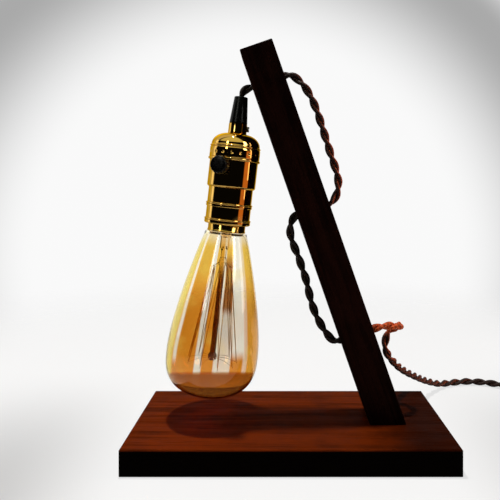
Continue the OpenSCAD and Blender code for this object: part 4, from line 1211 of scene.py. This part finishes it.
class LAMP_OT_cords(bpy.types.Operator):
    """Twists the two strands along the whole route, from the lampholder to the plug"""

    bl_idname = "lamp.cords"
    bl_label = "Twisted cord"

    def execute(self, context):
        settings = context.scene.lamp_cord
        # The laced cord and the lead get the cloth with painted copper light; the drop cord gets the shaded copy
        # without it
        cloth = cloth_material("cord_cloth", settings, 0.9)
        shade = cloth_material("cord_cloth_shaded", settings, 0.0)
        size, lay = settings.diameter, settings.lay
        first = (0, 1, 0)

        route = laced_route()
        mesh, normal, phase = twisted_pair("cord_laced_cloth", route, first, size, lay, LACED_PHASE)
        laced = add_piece("cord_laced_cloth", mesh, cloth, "stand", "cord_cloth", "cord_laced")

        route = lead_route(settings)
        mesh = twisted_pair("cord_lead_cloth", route, normal, size, lay, phase, 10)[0]
        stands_for = ("cord_tail", "cord_coil", "cord_end")
        lead = add_piece("cord_lead_cloth", mesh, cloth, "stand", "cord_cloth", *stands_for)

        route = drop_route()
        mesh = twisted_pair("cord_drop_cloth", route, first, size, lay, DROP_PHASE)[0]
        add_piece("cord_drop_cloth", mesh, shade, "cord_drop", "cord_cloth", "cord_drop")
        return {"FINISHED"}


def dress(material, *names):
    """Gives CAD nodes their finish."""
    for name in names:
        dressed(NODES[name], material)


def at_mm(*points):
    """An outline given in millimetres."""
    return [tuple(value * MM for value in point) for point in points]


def bow(centre, radii, start, end, steps):
    """Points of a round or flattened arc in an outline; angles in degrees, from the radius down the axis."""
    angles = np.radians(np.linspace(start, end, steps + 1))
    return [(centre[0] + radii[0] * math.cos(a), centre[1] + radii[1] * math.sin(a)) for a in angles]


def turned_piece(name, outline, material, body, stands_for, slot, steps=96, **how):
    """A turned piece that stands for a CAD node; how goes on to revolve()."""
    return add_piece(name, revolve(name, outline, steps, **how), material, body, slot, stands_for)


def wire_mesh(name, paths, radius, sides=8):
    """A mesh of round wires along paths of points."""
    tube_set = ([], [], [])
    for path in paths:
        route = np.array([tuple(point) for point in path])
        first = Vector(route[1] - route[0]).orthogonal()
        rings = tube_rings(route, carried_normals(route, tuple(first)), radius, sides)
        along = np.concatenate([[0], np.cumsum(np.linalg.norm(np.diff(route, axis=0), axis=1))])
        add_tube(tube_set, rings, along)
    return tube_mesh(name, tube_set)


def drilled(mesh, start, end, radius):
    """The same mesh with a round hole cut along a line."""
    way = end - start
    cutter_mesh = bpy.data.meshes.new("drill")
    shape = bmesh.new()
    turn = way.to_track_quat("Z", "Y").to_matrix().to_4x4()
    bmesh.ops.create_cone(
        shape, cap_ends=True, segments=48, radius1=radius, radius2=radius, depth=way.length,
        matrix=Matrix.Translation((start + end) / 2) @ turn,
    )
    shape.to_mesh(cutter_mesh)
    shape.free()
    cutter = bpy.data.objects.new("drill", cutter_mesh)
    holder = bpy.data.objects.new("drilled", mesh)
    for thing in (cutter, holder):
        bpy.context.scene.collection.objects.link(thing)
    cut = holder.modifiers.new("hole", "BOOLEAN")
    cut.operation = "DIFFERENCE"
    cut.solver = "EXACT"
    cut.object = cutter
    done = bpy.data.meshes.new_from_object(holder.evaluated_get(bpy.context.evaluated_depsgraph_get()))
    bpy.data.objects.remove(holder)
    bpy.data.objects.remove(cutter)
    smooth(done)
    return done


class LAMP_OT_holder(bpy.types.Operator):
    """Turns and polishes the brass lampholder"""

    bl_idname = "lamp.holder"
    bl_label = "Brass lampholder"

    def execute(self, context):
        settings = context.scene.lamp_brass
        brass = metal_material(
            "antique_brass_lacquered", settings.brass, settings.tarnish, 0.03, 0.30, 0.20, BRASS_EDGE
        )
        self.make_cap(settings, brass)
        self.make_shells(settings, brass)
        self.make_rings(settings, brass)
        dress(brass, "nipple")
        dress(metal_material("brass_darkened", (0.10, 0.075, 0.040), (0.04, 0.03, 0.02), 0.25), "neck_screw")
        bright = metal_material("brass_bright", (0.80, 0.60, 0.28), (0.45, 0.30, 0.12), 0.25)
        fibre = plastic_material("fibre_board", (0.16, 0.10, 0.06), 0.75, 0.0, 0.8)
        dress(bright, "screw_shell", "centre_contact", "switch_leaves", "terminal_screws")
        dress(fibre, "insulating_liner", "shell_sleeve")
        dress(plastic_material("core_ceramic", (0.72, 0.68, 0.60), 0.25, 0.5), "switch_core")
        dress(plastic_material("lead_cover", (0.05, 0.03, 0.02), 0.55, 0.0, 0.3), "inner_leads")
        return {"FINISHED"}

    def make_cap(self, settings, brass):
        """The neck, the dome, a bead, the dimpled skirt and its rolled edge."""
        wide = settings.upper_radius + 0.7 * MM
        dimple_u = SKIRT_U + 5.6 * MM
        dimple_every = 2 * math.pi / settings.dimples
        first_dimple = math.radians(-92)
        dome = bow((6.5 * MM, SKIRT_U), (wide - 7.1 * MM, 8.6 * MM), -90, 0, 20)
        under = bow((5.5 * MM, SKIRT_U), (wide - 6.6 * MM, 8.1 * MM), 0, -90, 16)
        rim_bead = bow((wide - 0.55 * MM, SKIRT_U + 0.85 * MM), (0.6 * MM, 0.65 * MM), -80, 80, 8)
        skirt = [(wide, u) for u in np.arange(38.6, 42.4, 0.2) * MM]
        edge = bow((wide + 0.05 * MM, UPPER_U - 0.95 * MM), (0.5 * MM, 0.75 * MM), -90, 80, 10)
        outline = at_mm((5.05, 18.85), (6.1, 18.85), (6.5, 19.2), (6.5, 24.9), (6.62, 25.8)) + dome + rim_bead
        outline += [(wide - 0.25 * MM, SKIRT_U + 1.75 * MM), (wide, SKIRT_U + 2.2 * MM)] + skirt
        outline += [(wide, UPPER_U - 2.2 * MM), (wide - 0.15 * MM, UPPER_U - 1.85 * MM)] + edge
        outline += [(wide + 0.05 * MM, UPPER_U), (wide - 0.5 * MM, UPPER_U)]
        outline += [(wide - 0.5 * MM, SKIRT_U + 0.8 * MM)] + under + at_mm((5.05, 26.7))

        def dimples(down, turns, radius):
            """Pushes round dimples into the outside of the skirt."""
            if radius < wide - 0.1 * MM:
                return 0
            off_centre = (turns - first_dimple + dimple_every / 2) % dimple_every - dimple_every / 2
            far = np.hypot(off_centre * wide, down - dimple_u) / (0.95 * MM)
            return -0.42 * MM * np.clip(1 - far**2, 0, 1) ** 0.8

        turned_piece(
            "socket_cap_brass", outline, brass, "lampholder", "socket_cap", "antique_brass",
            settings.dimples * 20, swell=dimples, angle=40,
        )

    def make_shells(self, settings, brass):
        """The upper shell with the spindle's hole, and the lower shell with its rolled lip."""
        r = settings.upper_radius
        outline = rounded(
            [
                (r - 0.5 * MM, 36.8 * MM), (r, 36.8 * MM), (r, LOWER_U - 1.0 * MM),
                (r - 0.9 * MM, LOWER_U), (r - 1.15 * MM, LOWER_U),
                (r - 1.15 * MM, LOWER_U - 0.5 * MM), (r - 0.5 * MM, LOWER_U - 1.2 * MM),
            ],
            0.5 * MM,
        )
        mesh = revolve("upper_shell_brass", outline, 128)
        mesh = drilled(mesh, KNOB_AXIS @ Vector((0, 0, 0.010)), KNOB_AXIS @ Vector((0, 0, 0.022)), 1.8 * MM)
        add_piece("upper_shell_brass", mesh, brass, "lampholder", "antique_brass", "upper_shell")
        r = settings.lower_radius
        outline = rounded(
            [
                (r - 0.5 * MM, 57 * MM), (r, 57 * MM), (r, MOUTH_U - 0.1 * MM, 0.7 * MM),
                (r - 0.7 * MM, MOUTH_U), (13.7 * MM, MOUTH_U),
                (13.7 * MM, MOUTH_U - 0.5 * MM), (r - 0.5 * MM, MOUTH_U - 0.5 * MM),
            ],
            0.2 * MM,
        )
        turned_piece("lower_shell_brass", outline, brass, "lampholder", "lower_shell", "antique_brass", 128)

    def make_rings(self, settings, brass):
        """Two rings for a shade: a round bead over a plain band."""
        r = settings.lower_radius
        for name, top, high in (
            ("shade_ring_upper", LOWER_U + 10.5 * MM, 3.0 * MM),
            ("shade_ring_lower", MOUTH_U - 4.0 * MM, 3.5 * MM),
        ):
            bead = bow((r + 0.15 * MM, top + 0.75 * MM), (0.62 * MM, 0.72 * MM), -85, 80, 10)
            outline = [(r + 0.05 * MM, top)] + bead
            outline += [(r + 0.5 * MM, top + 1.5 * MM), (r + 0.62 * MM, top + high - 0.5 * MM)]
            outline += [(r + 0.45 * MM, top + high), (r + 0.05 * MM, top + high)]
            turned_piece(name + "_brass", outline, brass, "lampholder", name, "antique_brass", 128)


class LAMP_OT_black_parts(bpy.types.Operator):
    """Moulds the cord grip and the fluted knob, and plates the steel parts"""

    bl_idname = "lamp.black_parts"
    bl_label = "Grip and knob"

    def execute(self, context):
        settings = context.scene.lamp_brass
        black = plastic_material("black_gloss", (0.0022, 0.0022, 0.0024), 0.22, bend=1.18)
        steel = metal_material("steel_plated", (0.60, 0.59, 0.56), (0.34, 0.33, 0.31), 0.30)
        dress(steel, "switch_spindle", "core_screws", "post_screws", "plug_pins", "plug_screw")
        grip = rounded(
            at_mm(
                (3.35, 0.2), (3.9, 0.0), (4.7, 0.0, 1.2), (6.3, 17.6),
                (6.4, 18.8, 0.4), (5.05, 18.8), (5.05, 9.0), (3.35, 9.0),
            ),
            0.3 * MM,
        )
        turned_piece("cord_grip_moulded", grip, black, "lampholder", "cord_grip", "black_plastic", 96)
        self.make_knob(settings, black)
        return {"FINISHED"}

    def make_knob(self, settings, black):
        """A round button with flutes and a crowned face; its outline runs outwards along its axis."""
        back = settings.upper_radius / MM + 2.0
        outline = rounded(
            at_mm(
                (1.55, -back), (3.4, -back), (3.9, -back - 1.7), (5.9, -back - 2.2), (6.25, -back - 3.0),
                (6.25, -back - 7.4, 1.2), (5.3, -back - 8.7), (3.6, -back - 9.0), (1.8, -back - 9.05),
                (0, -back - 9.0),
            ),
            0.35 * MM,
        )
        outline.append((0.0, -(back + 7.1) * MM))
        outline.append((1.55 * MM, -(back + 7.1) * MM))
        band = ((back + 2.0) * MM, (back + 8.4) * MM)

        def flutes(down, turns, radius):
            """Presses round flutes into the rim."""
            if radius < 4.5 * MM:
                return 0
            edge = min(1.0, max(0.0, min(-down - band[0], band[1] + down) / (0.8 * MM)))
            ridge = np.abs(np.cos(settings.flutes * turns / 2)) ** 1.6
            return -0.55 * MM * edge * (1 - ridge)

        turned_piece(
            "switch_knob_moulded", outline, black, "knob", "switch_knob", "black_plastic",
            settings.flutes * 16, swell=flutes, angle=40, matrix=KNOB_AXIS,
        )


class LAMP_OT_bulb(bpy.types.Operator):
    """Blows the amber glass and sets the stem, the filament and the cap in it"""

    bl_idname = "lamp.bulb"
    bl_label = "Bulb"

    def execute(self, context):
        settings = context.scene.lamp_bulb
        # Low down the amber glass is painted brown as a painted view of the board through it
        amber = glass_material("amber_glass_clear", settings.amber, (0.48, 0.30, 0.18), painted_board_below=0.0476)
        self.make_glass(settings, amber)
        dark = glass_material("stem_glass_dark", (0.13, 0.045, 0.020), (0.3, 0.15, 0.1), 0.05, clear_above=0.121)
        self.make_stem(settings, dark)
        wire = metal_material("filament_wire_fine", (0.85, 0.62, 0.34), (0.40, 0.24, 0.12), 0.40)
        hook = metal_material("hook_wire_polished", (0.98, 0.90, 0.72), (0.80, 0.60, 0.35), 0.10)
        self.make_filament(settings, wire, hook)
        self.make_cap(
            metal_material("cap_brass", (0.55, 0.32, 0.07), (0.25, 0.14, 0.04), 0.10, 0.4, 0.5, BRASS_EDGE)
        )
        dress(metal_material("tip_solder", (0.62, 0.62, 0.60), (0.35, 0.35, 0.33), 0.38), "bulb_tip")
        dress(plastic_material("cap_black_glass", (0.012, 0.012, 0.018), 0.12, 0.4), "bulb_insulator")
        return {"FINISHED"}

    def pear(self, settings, shrink):
        """The glass outline from its neck to its closed end: a bent flank and a full round end."""
        neck = 14.6 * MM
        wide = settings.glass_radius - shrink
        length = settings.glass_length
        widest = 0.755 * length
        fullness = 0.72
        flank = [
            (neck - shrink, GLASS_U + 0.85 * MM + shrink),
            (wide - 10.6 * MM, GLASS_U + 0.2 * length),
            (wide, GLASS_U + 0.56 * length),
            (wide, GLASS_U + widest),
        ]
        outline = []
        for t in np.linspace(0, 0.97, 34):
            weights = ((1 - t) ** 3, 3 * (1 - t) ** 2 * t, 3 * (1 - t) * t * t, t**3)
            outline.append(tuple(sum(w * p[axis] for w, p in zip(weights, flank)) for axis in (0, 1)))
        for angle in np.linspace(0, math.pi / 2, 30):
            outline.append(
                (
                    wide * max(0.0, math.cos(angle)) ** fullness,
                    GLASS_U + widest + (length - widest - shrink) * math.sin(angle) ** fullness,
                )
            )
        outline[-1] = (0.0, outline[-1][1])
        return outline

    def make_glass(self, settings, amber):
        """The glass envelope with both its walls."""
        wall = 0.8 * MM
        throat = 12.2 * MM
        neck_top = GLASS_U - 6.1 * MM
        outer = [(throat, neck_top), (throat, GLASS_U), (throat + 1.2 * MM, GLASS_U + 0.05 * MM)]
        inner = [(throat - wall, GLASS_U + 0.9 * MM), (throat - wall, neck_top)]
        outline = outer + self.pear(settings, 0.0) + self.pear(settings, wall)[::-1] + inner
        turned_piece("bulb_glass_pear", outline, amber, "bulb", "bulb_glass", "amber_glass", 128, angle=60)

    def make_stem(self, settings, stem):
        """The flare, the pinch, the long rod and its two beads."""
        u = GLASS_U / MM
        long = settings.glass_length / MM
        pinch_u, hook_u, end_u = u + 0.10 * long, u + UPPER_BEAD * long, u + LOWER_BEAD * long
        flare = [(11.35, u - 5.9), (11.35, u - 5.2), (6.2, u - 3.4), (4.2, u - 0.5), (3.3, pinch_u - 6)]
        pinch = [(3.2, pinch_u), (2.0, pinch_u + 2), (2.0, hook_u - 3)]
        pinch += [(2.9, hook_u - 1.5), (2.9, hook_u + 1.5)]
        rod = [(2.0, hook_u + 3), (2.0, end_u - 3), (3.1, end_u - 1.5), (3.1, end_u + 1), (2.2, end_u + 2.2)]
        hollow = [(0.0, end_u + 2.6), (0.0, u + 5.0), (2.2, u + 3.0)]
        hollow += [(3.4, u - 0.8), (5.6, u - 4.0), (10.4, u - 5.9)]
        outline = rounded(at_mm(*(flare + pinch + rod + hollow)), 1.4 * MM, 6)
        turned_piece("glass_stem_drawn", outline, stem, "bulb", "glass_stem", "stem_glass", 48, angle=60)

    def beads(self, settings):
        """Distances of the stem's two beads down the axis."""
        return [GLASS_U + share * settings.glass_length for share in (UPPER_BEAD, LOWER_BEAD)]

    def first_bend(self, settings, row):
        """The filament's first bend: row 0 is the small upper ring, row 1 the wide lower one."""
        wide = 2 * settings.glass_radius
        hook_u, end_u = self.beads(settings)
        radius = (0.109, 0.272)[row] * wide
        down = (hook_u + 0.034 * settings.glass_length, end_u + 0.025 * settings.glass_length)[row]
        angle = CAGE_START + CAGE_SPAN / settings.hairpins * row / 2
        return Vector((radius * math.cos(angle), radius * math.sin(angle), -down))

    def make_filament(self, settings, wire, hook):
        """Hairpins down the cage, small hooks that hold them and the two leads."""
        first = self.first_bend(settings, 0)
        low = self.first_bend(settings, 1)
        mesh = grown(
            "hairpins", "Filament cage", bpy.data.meshes.new("hairpins"),
            {
                "Hairpins": settings.hairpins, "Start": CAGE_START, "Span": CAGE_SPAN,
                "Upper radius": first.xy.length, "Lower radius": low.xy.length, "Upper distance": -first.z,
                "Lower distance": -low.z, "Bend": 0.03 * MM, "Wire radius": 0.27 * MM, "Material": wire,
            },
        )
        self.add_wires("filament_hairpins", [mesh], "filament")
        hook_u, end_u = self.beads(settings)
        step = CAGE_SPAN / settings.hairpins
        hooks = []
        for bend, bead_u, bead_r, lift, count, start in (
            (first, hook_u, 2.2 * MM, -0.4 * MM, settings.hairpins - 1, step),
            (low, end_u, 2.6 * MM, 0.9 * MM, settings.hairpins, 0.0),
        ):
            out = Vector((bend.x, bend.y, 0)).normalized()
            root = out * bead_r + Vector((0, 0, -bead_u))
            tip = bend + out * 0.5 * MM
            middle = (root + tip) / 2 + Vector((0, 0, lift))
            path = [root, middle, tip, tip + Vector((0, 0, -0.6 * MM)), bend + Vector((0, 0, -0.9 * MM))]
            one = wire_mesh("hook", [path], 0.2 * MM, 6)
            values = {"Count": count, "Start": start, "Step": step, "Material": hook}
            hooks.append(grown("hooks", "Turned copies", one, values))
        self.add_wires("filament_hooks_bent", hooks, "filament_hooks")
        out = Vector((first.x, first.y, 0)).normalized()
        root = Vector((0, 0, -(GLASS_U + 0.1 * settings.glass_length - 0.8 * MM)))
        path = [out * 1.8 * MM + root, out * 2.6 * MM + root + Vector((0, 0, -4 * MM)), first]
        values = {"Count": 2, "Start": 0.0, "Step": CAGE_SPAN, "Material": wire}
        leads = grown("leads", "Turned copies", wire_mesh("lead", [path], 0.25 * MM, 6), values)
        self.add_wires("bulb_leads_bent", [leads], "bulb_leads")

    def add_wires(self, name, meshes, stands_for):
        """Joins wires that have one material into one piece and sets it in the bulb."""
        shape = bmesh.new()
        for mesh in meshes:
            shape.from_mesh(mesh)
        bmesh.ops.recalc_face_normals(shape, faces=shape.faces)
        joined = bpy.data.meshes.new(name)
        shape.to_mesh(joined)
        shape.free()
        place(joined, PENDANT)
        smooth(joined, 60)
        add_piece(name, joined, meshes[0].materials[0], "bulb", "filament_wire", stands_for)

    def make_cap(self, brass):
        """The threaded cap: one wall of the screw thread, its shoulder and its plain skirt."""
        pitch = THREAD_PITCH
        middle, depth, wall = 12.6 * MM, 1.0 * MM, 0.35 * MM
        start, end = 71.3 * MM, 88.5 * MM
        run = pitch / 2
        rows = []
        for u in np.linspace(start, end, 90):
            top = min(1.0, (u - start) / run)
            low = min(1.0, (end - u) / run)
            rows.append((u, middle + depth / 2 * (top - low), min(top, low)))
        outer = [(70.0 * MM, 8.5 * MM, 0), (70.0 * MM, 9.7 * MM, 0), (71.2 * MM, 12.1 * MM, 0)] + rows
        outer += [
            (93.8 * MM, 13.1 * MM, 0), (94.05 * MM, 13.28 * MM, 0), (94.3 * MM, 13.4 * MM, 0),
            (94.75 * MM, 13.4 * MM, 0), (94.95 * MM, 13.25 * MM, 0), (94.95 * MM, 12.35 * MM, 0),
            (88.7 * MM, 12.35 * MM, 0),
        ]
        loop = outer + [(u, r - wall, share) for u, r, share in rows[::-1]] + [(70.7 * MM, 8.5 * MM, 0)]
        turns = np.arange(CAP_STEPS) * 2 * math.pi / CAP_STEPS
        points = np.zeros((len(loop) + 1, CAP_STEPS, 3))
        for index, (u, r, share) in enumerate(loop + loop[:1]):
            radius = r + share * depth / 2 * np.cos(2 * math.pi * u / pitch + turns)
            points[index, :, 0] = radius * np.cos(turns)
            points[index, :, 1] = radius * np.sin(turns)
            points[index, :, 2] = -u
        mesh = grid_mesh("bulb_cap_rolled", points)
        mend(mesh, merged=True)
        place(mesh, PENDANT)
        smooth(mesh, 50)
        add_piece("bulb_cap_rolled", mesh, brass, "bulb", "bright_brass", "bulb_cap")


class LAMP_OT_wood(bpy.types.Operator):
    """Stains the board and the post"""

    bl_idname = "lamp.wood"
    bl_label = "Board and post"

    def execute(self, context):
        settings = context.scene.lamp_wood
        # The board's sides below its top are painted nearly black as painted shade
        board = wood_material(
            "board_wood_oiled", settings.board_colour, settings.board_dark, 0.0006, shine=0.40,
            sides=0.0168, far_end=(0.045, 0.085),
        )
        post = wood_material(
            "post_wood_stained", settings.post_colour, settings.post_dark, 0.0005,
            turn=(0, math.pi / 2 + POST_LEAN, 0), shine=0.38,
        )
        dress(board, "base_board")
        dress(post, "post")
        return {"FINISHED"}


def slab(name, outline, low, high, round_low, round_high):
    """A flat body from an outline in plan, with its lower or upper rim rounded."""
    shape = bmesh.new()
    floor = shape.faces.new([shape.verts.new((x, y, low)) for x, y in outline])
    raised = bmesh.ops.extrude_face_region(shape, geom=[floor])["geom"]
    for thing in raised:
        if isinstance(thing, bmesh.types.BMVert):
            thing.co.z = high
    for level, reach in ((low, round_low), (high, round_high)):
        if reach > 0:
            rim = [edge for edge in shape.edges if all(abs(v.co.z - level) < 1e-7 for v in edge.verts)]
            bmesh.ops.bevel(
                shape, geom=rim, offset=reach, segments=4, profile=0.5, affect="EDGES", clamp_overlap=True
            )
    bmesh.ops.recalc_face_normals(shape, faces=shape.faces)
    mesh = bpy.data.meshes.new(name)
    shape.to_mesh(mesh)
    shape.free()
    smooth(mesh, 35)
    return mesh


class LAMP_OT_plug(bpy.types.Operator):
    """Moulds the plug's two halves and its sleeve"""

    bl_idname = "lamp.plug"
    bl_label = "Plug"

    def execute(self, context):
        body = plastic_material("plug_moulded", (0.020, 0.018, 0.017), 0.42, 0.1, 0.5)
        self.make_half(body, "plug_lower", 0.0, PLUG_THICK / 2 - 0.05 * MM, 1.6 * MM, 0.25 * MM)
        self.make_half(body, "plug_upper", PLUG_THICK / 2 + 0.05 * MM, PLUG_THICK, 0.25 * MM, 1.6 * MM)
        self.make_sleeve(body)
        return {"FINISHED"}

    def outline(self):
        """The plug's outline in plan: straight sides with finger grooves and sloping shoulders."""
        half = PLUG_WIDE / 2 / MM
        shoulder = 0.62 * PLUG_LONG / MM
        right = [(half, 0.0, 2.0)]
        for groove in range(4):
            y = 4.0 + 3.5 * groove
            right += [(half, y - 0.8, 0.5), (half - 0.8, y, 0.7), (half, y + 0.8, 0.5)]
        right += [(half, shoulder - 2.5, 3.0), (half - 3.2, shoulder + 2.0, 4.0), (8.0, PLUG_LONG / MM, 2.0)]
        left = [(-x, y, r) for x, y, r in right[::-1]]
        loop = rounded([tuple(value * MM for value in point) for point in right + left], 1.0 * MM)
        return [(PLUG_X + x, PLUG_FRONT + y) for x, y in loop]

    def make_half(self, body, node, low, high, round_low, round_high):
        """One half of the body, with the screw's well in the upper one."""
        name = node + "_moulded"
        mesh = slab(name, self.outline(), low, high, round_low, round_high)
        if node == "plug_upper":
            well = Vector((PLUG_X, PLUG_FRONT + 21 * MM, PLUG_THICK))
            mesh = drilled(mesh, well - Vector((0, 0, 2.4 * MM)), well + Vector((0, 0, 3 * MM)), 3.1 * MM)
        add_piece(name, mesh, body, "stand", "plug_plastic", node)

    def make_sleeve(self, body):
        """The grooved rubber sleeve round the cord."""
        matrix = Matrix.Translation((PLUG_X, RELIEF_BACK, PLUG_THICK / 2)) @ TO_FRONT
        outline = [(3.15 * MM, 0.2 * MM), (3.5 * MM, 0.0), (3.9 * MM, 0.4 * MM)]
        for ring in range(5):
            u = (1.6 + 3.7 * ring) * MM
            r = (3.95 + 0.3 * ring) * MM
            outline += [(r, u), (r - 0.9 * MM, u + 0.3 * MM)]
            outline += [(r - 0.9 * MM, u + 1.2 * MM), (r + 0.1 * MM, u + 1.6 * MM)]
        end = RELIEF_LONG + 1.5 * MM
        outline += [(5.4 * MM, RELIEF_LONG - 0.2 * MM), (5.4 * MM, end), (3.15 * MM, end)]
        turned_piece(
            "plug_relief_moulded", rounded(outline, 0.3 * MM), body, "stand", "plug_relief", "plug_plastic",
            64, matrix=matrix,
        )


class LAMP_OT_strap(bpy.types.Operator):
    """Wraps the strap round the coil with its end on top"""

    bl_idname = "lamp.strap"
    bl_label = "Coil strap"

    def execute(self, context):
        settings = context.scene.lamp_cord
        strap = plastic_material("strap_woven", (0.018, 0.018, 0.018), 0.8, 0.0, 1.0)
        thick, wide = 0.9 * MM, 9 * MM
        inner = settings.coil_radius - settings.coil_pitch * COIL_TURNS / 2 - 3.3 * MM
        outer = settings.coil_radius + 3 * MM
        low, high = thick, COIL_LOW + settings.coil_pitch + 3.3 * MM
        corners = [
            ((inner + outer) / 2, high), (inner, high), (inner, low), (outer, low), (outer, high),
        ]
        path = rounded(corners, 1.6 * MM, 6)[1:]
        path += [(x, high + 1.1 * thick) for x in np.linspace(0.55 * outer + 0.45 * inner, inner + 4 * MM, 5)]
        radial = Vector((math.cos(math.pi / 4), math.sin(math.pi / 4), 0))
        sideways = Vector((-radial.y, radial.x, 0))
        route = np.array([tuple(COIL_CENTRE + radial * x + Vector((0, 0, z))) for x, z in path])
        ahead = directions(route)
        outward = np.cross(np.array(sideways), ahead)
        middle = COIL_CENTRE + radial * (inner + outer) / 2 + Vector((0, 0, (low + high) / 2))
        middle = np.array([tuple(middle)])
        away = np.sign((outward * (route - middle)).sum(axis=1))[:, None]
        outward = outward * away
        section = (
            (-0.5, 0.25), (-0.5, 0.75), (-0.48, 1), (0.48, 1), (0.5, 0.75), (0.5, 0.25), (0.48, 0), (-0.48, 0),
        )
        rows = [route + np.array(sideways) * x * wide + outward * up * thick for x, up in section]
        points = np.stack(rows, axis=1)
        mesh = grid_mesh("coil_strap", points, caps=True)
        mend(mesh)
        smooth(mesh, 40)
        add_piece("coil_strap", mesh, strap, "stand", "strap", "coil_tie")
        return {"FINISHED"}


class LAMP_PT_panel(bpy.types.Panel):
    """Lists the lamp's pieces and their settings"""

    bl_idname = "LAMP_PT_panel"
    bl_label = "Bare Bulb Table Lamp"
    bl_space_type = "VIEW_3D"
    bl_region_type = "UI"
    bl_category = "Lamp"

    def draw(self, context):
        for operator in OPERATORS:
            self.layout.operator(operator.bl_idname)
        for name, group in SETTINGS:
            box = self.layout.box()
            for field in group.__annotations__:
                box.prop(getattr(context.scene, name), field)


SETTINGS = (
    ("lamp_stage", LampStageSettings),
    ("lamp_wood", LampWoodSettings),
    ("lamp_cord", LampCordSettings),
    ("lamp_brass", LampBrassSettings),
    ("lamp_bulb", LampBulbSettings),
)
OPERATORS = (
    LAMP_OT_stage, LAMP_OT_plug, LAMP_OT_strap, LAMP_OT_cords, LAMP_OT_wood,
    LAMP_OT_holder, LAMP_OT_black_parts, LAMP_OT_bulb,
)


def register():
    """Registers the settings, the operators and the panel."""
    for name, group in SETTINGS:
        bpy.utils.register_class(group)
        setattr(bpy.types.Scene, name, PointerProperty(type=group))
    for part in OPERATORS + (LAMP_PT_panel,):
        bpy.utils.register_class(part)


def unregister():
    """Takes them out again."""
    for part in (LAMP_PT_panel,) + OPERATORS[::-1]:
        bpy.utils.unregister_class(part)
    for name, group in SETTINGS[::-1]:
        delattr(bpy.types.Scene, name)
        bpy.utils.unregister_class(group)


def main():
    """Makes the shared effects, then every piece in order."""
    register()
    make_wood_group()
    make_smudge_group()
    make_braid_group()
    make_streak_group()
    make_cage_tree()
    make_copies_tree()
    for operator in OPERATORS:
        getattr(bpy.ops.lamp, operator.bl_idname.split(".")[1])()


if __name__ == "__main__":
    main()
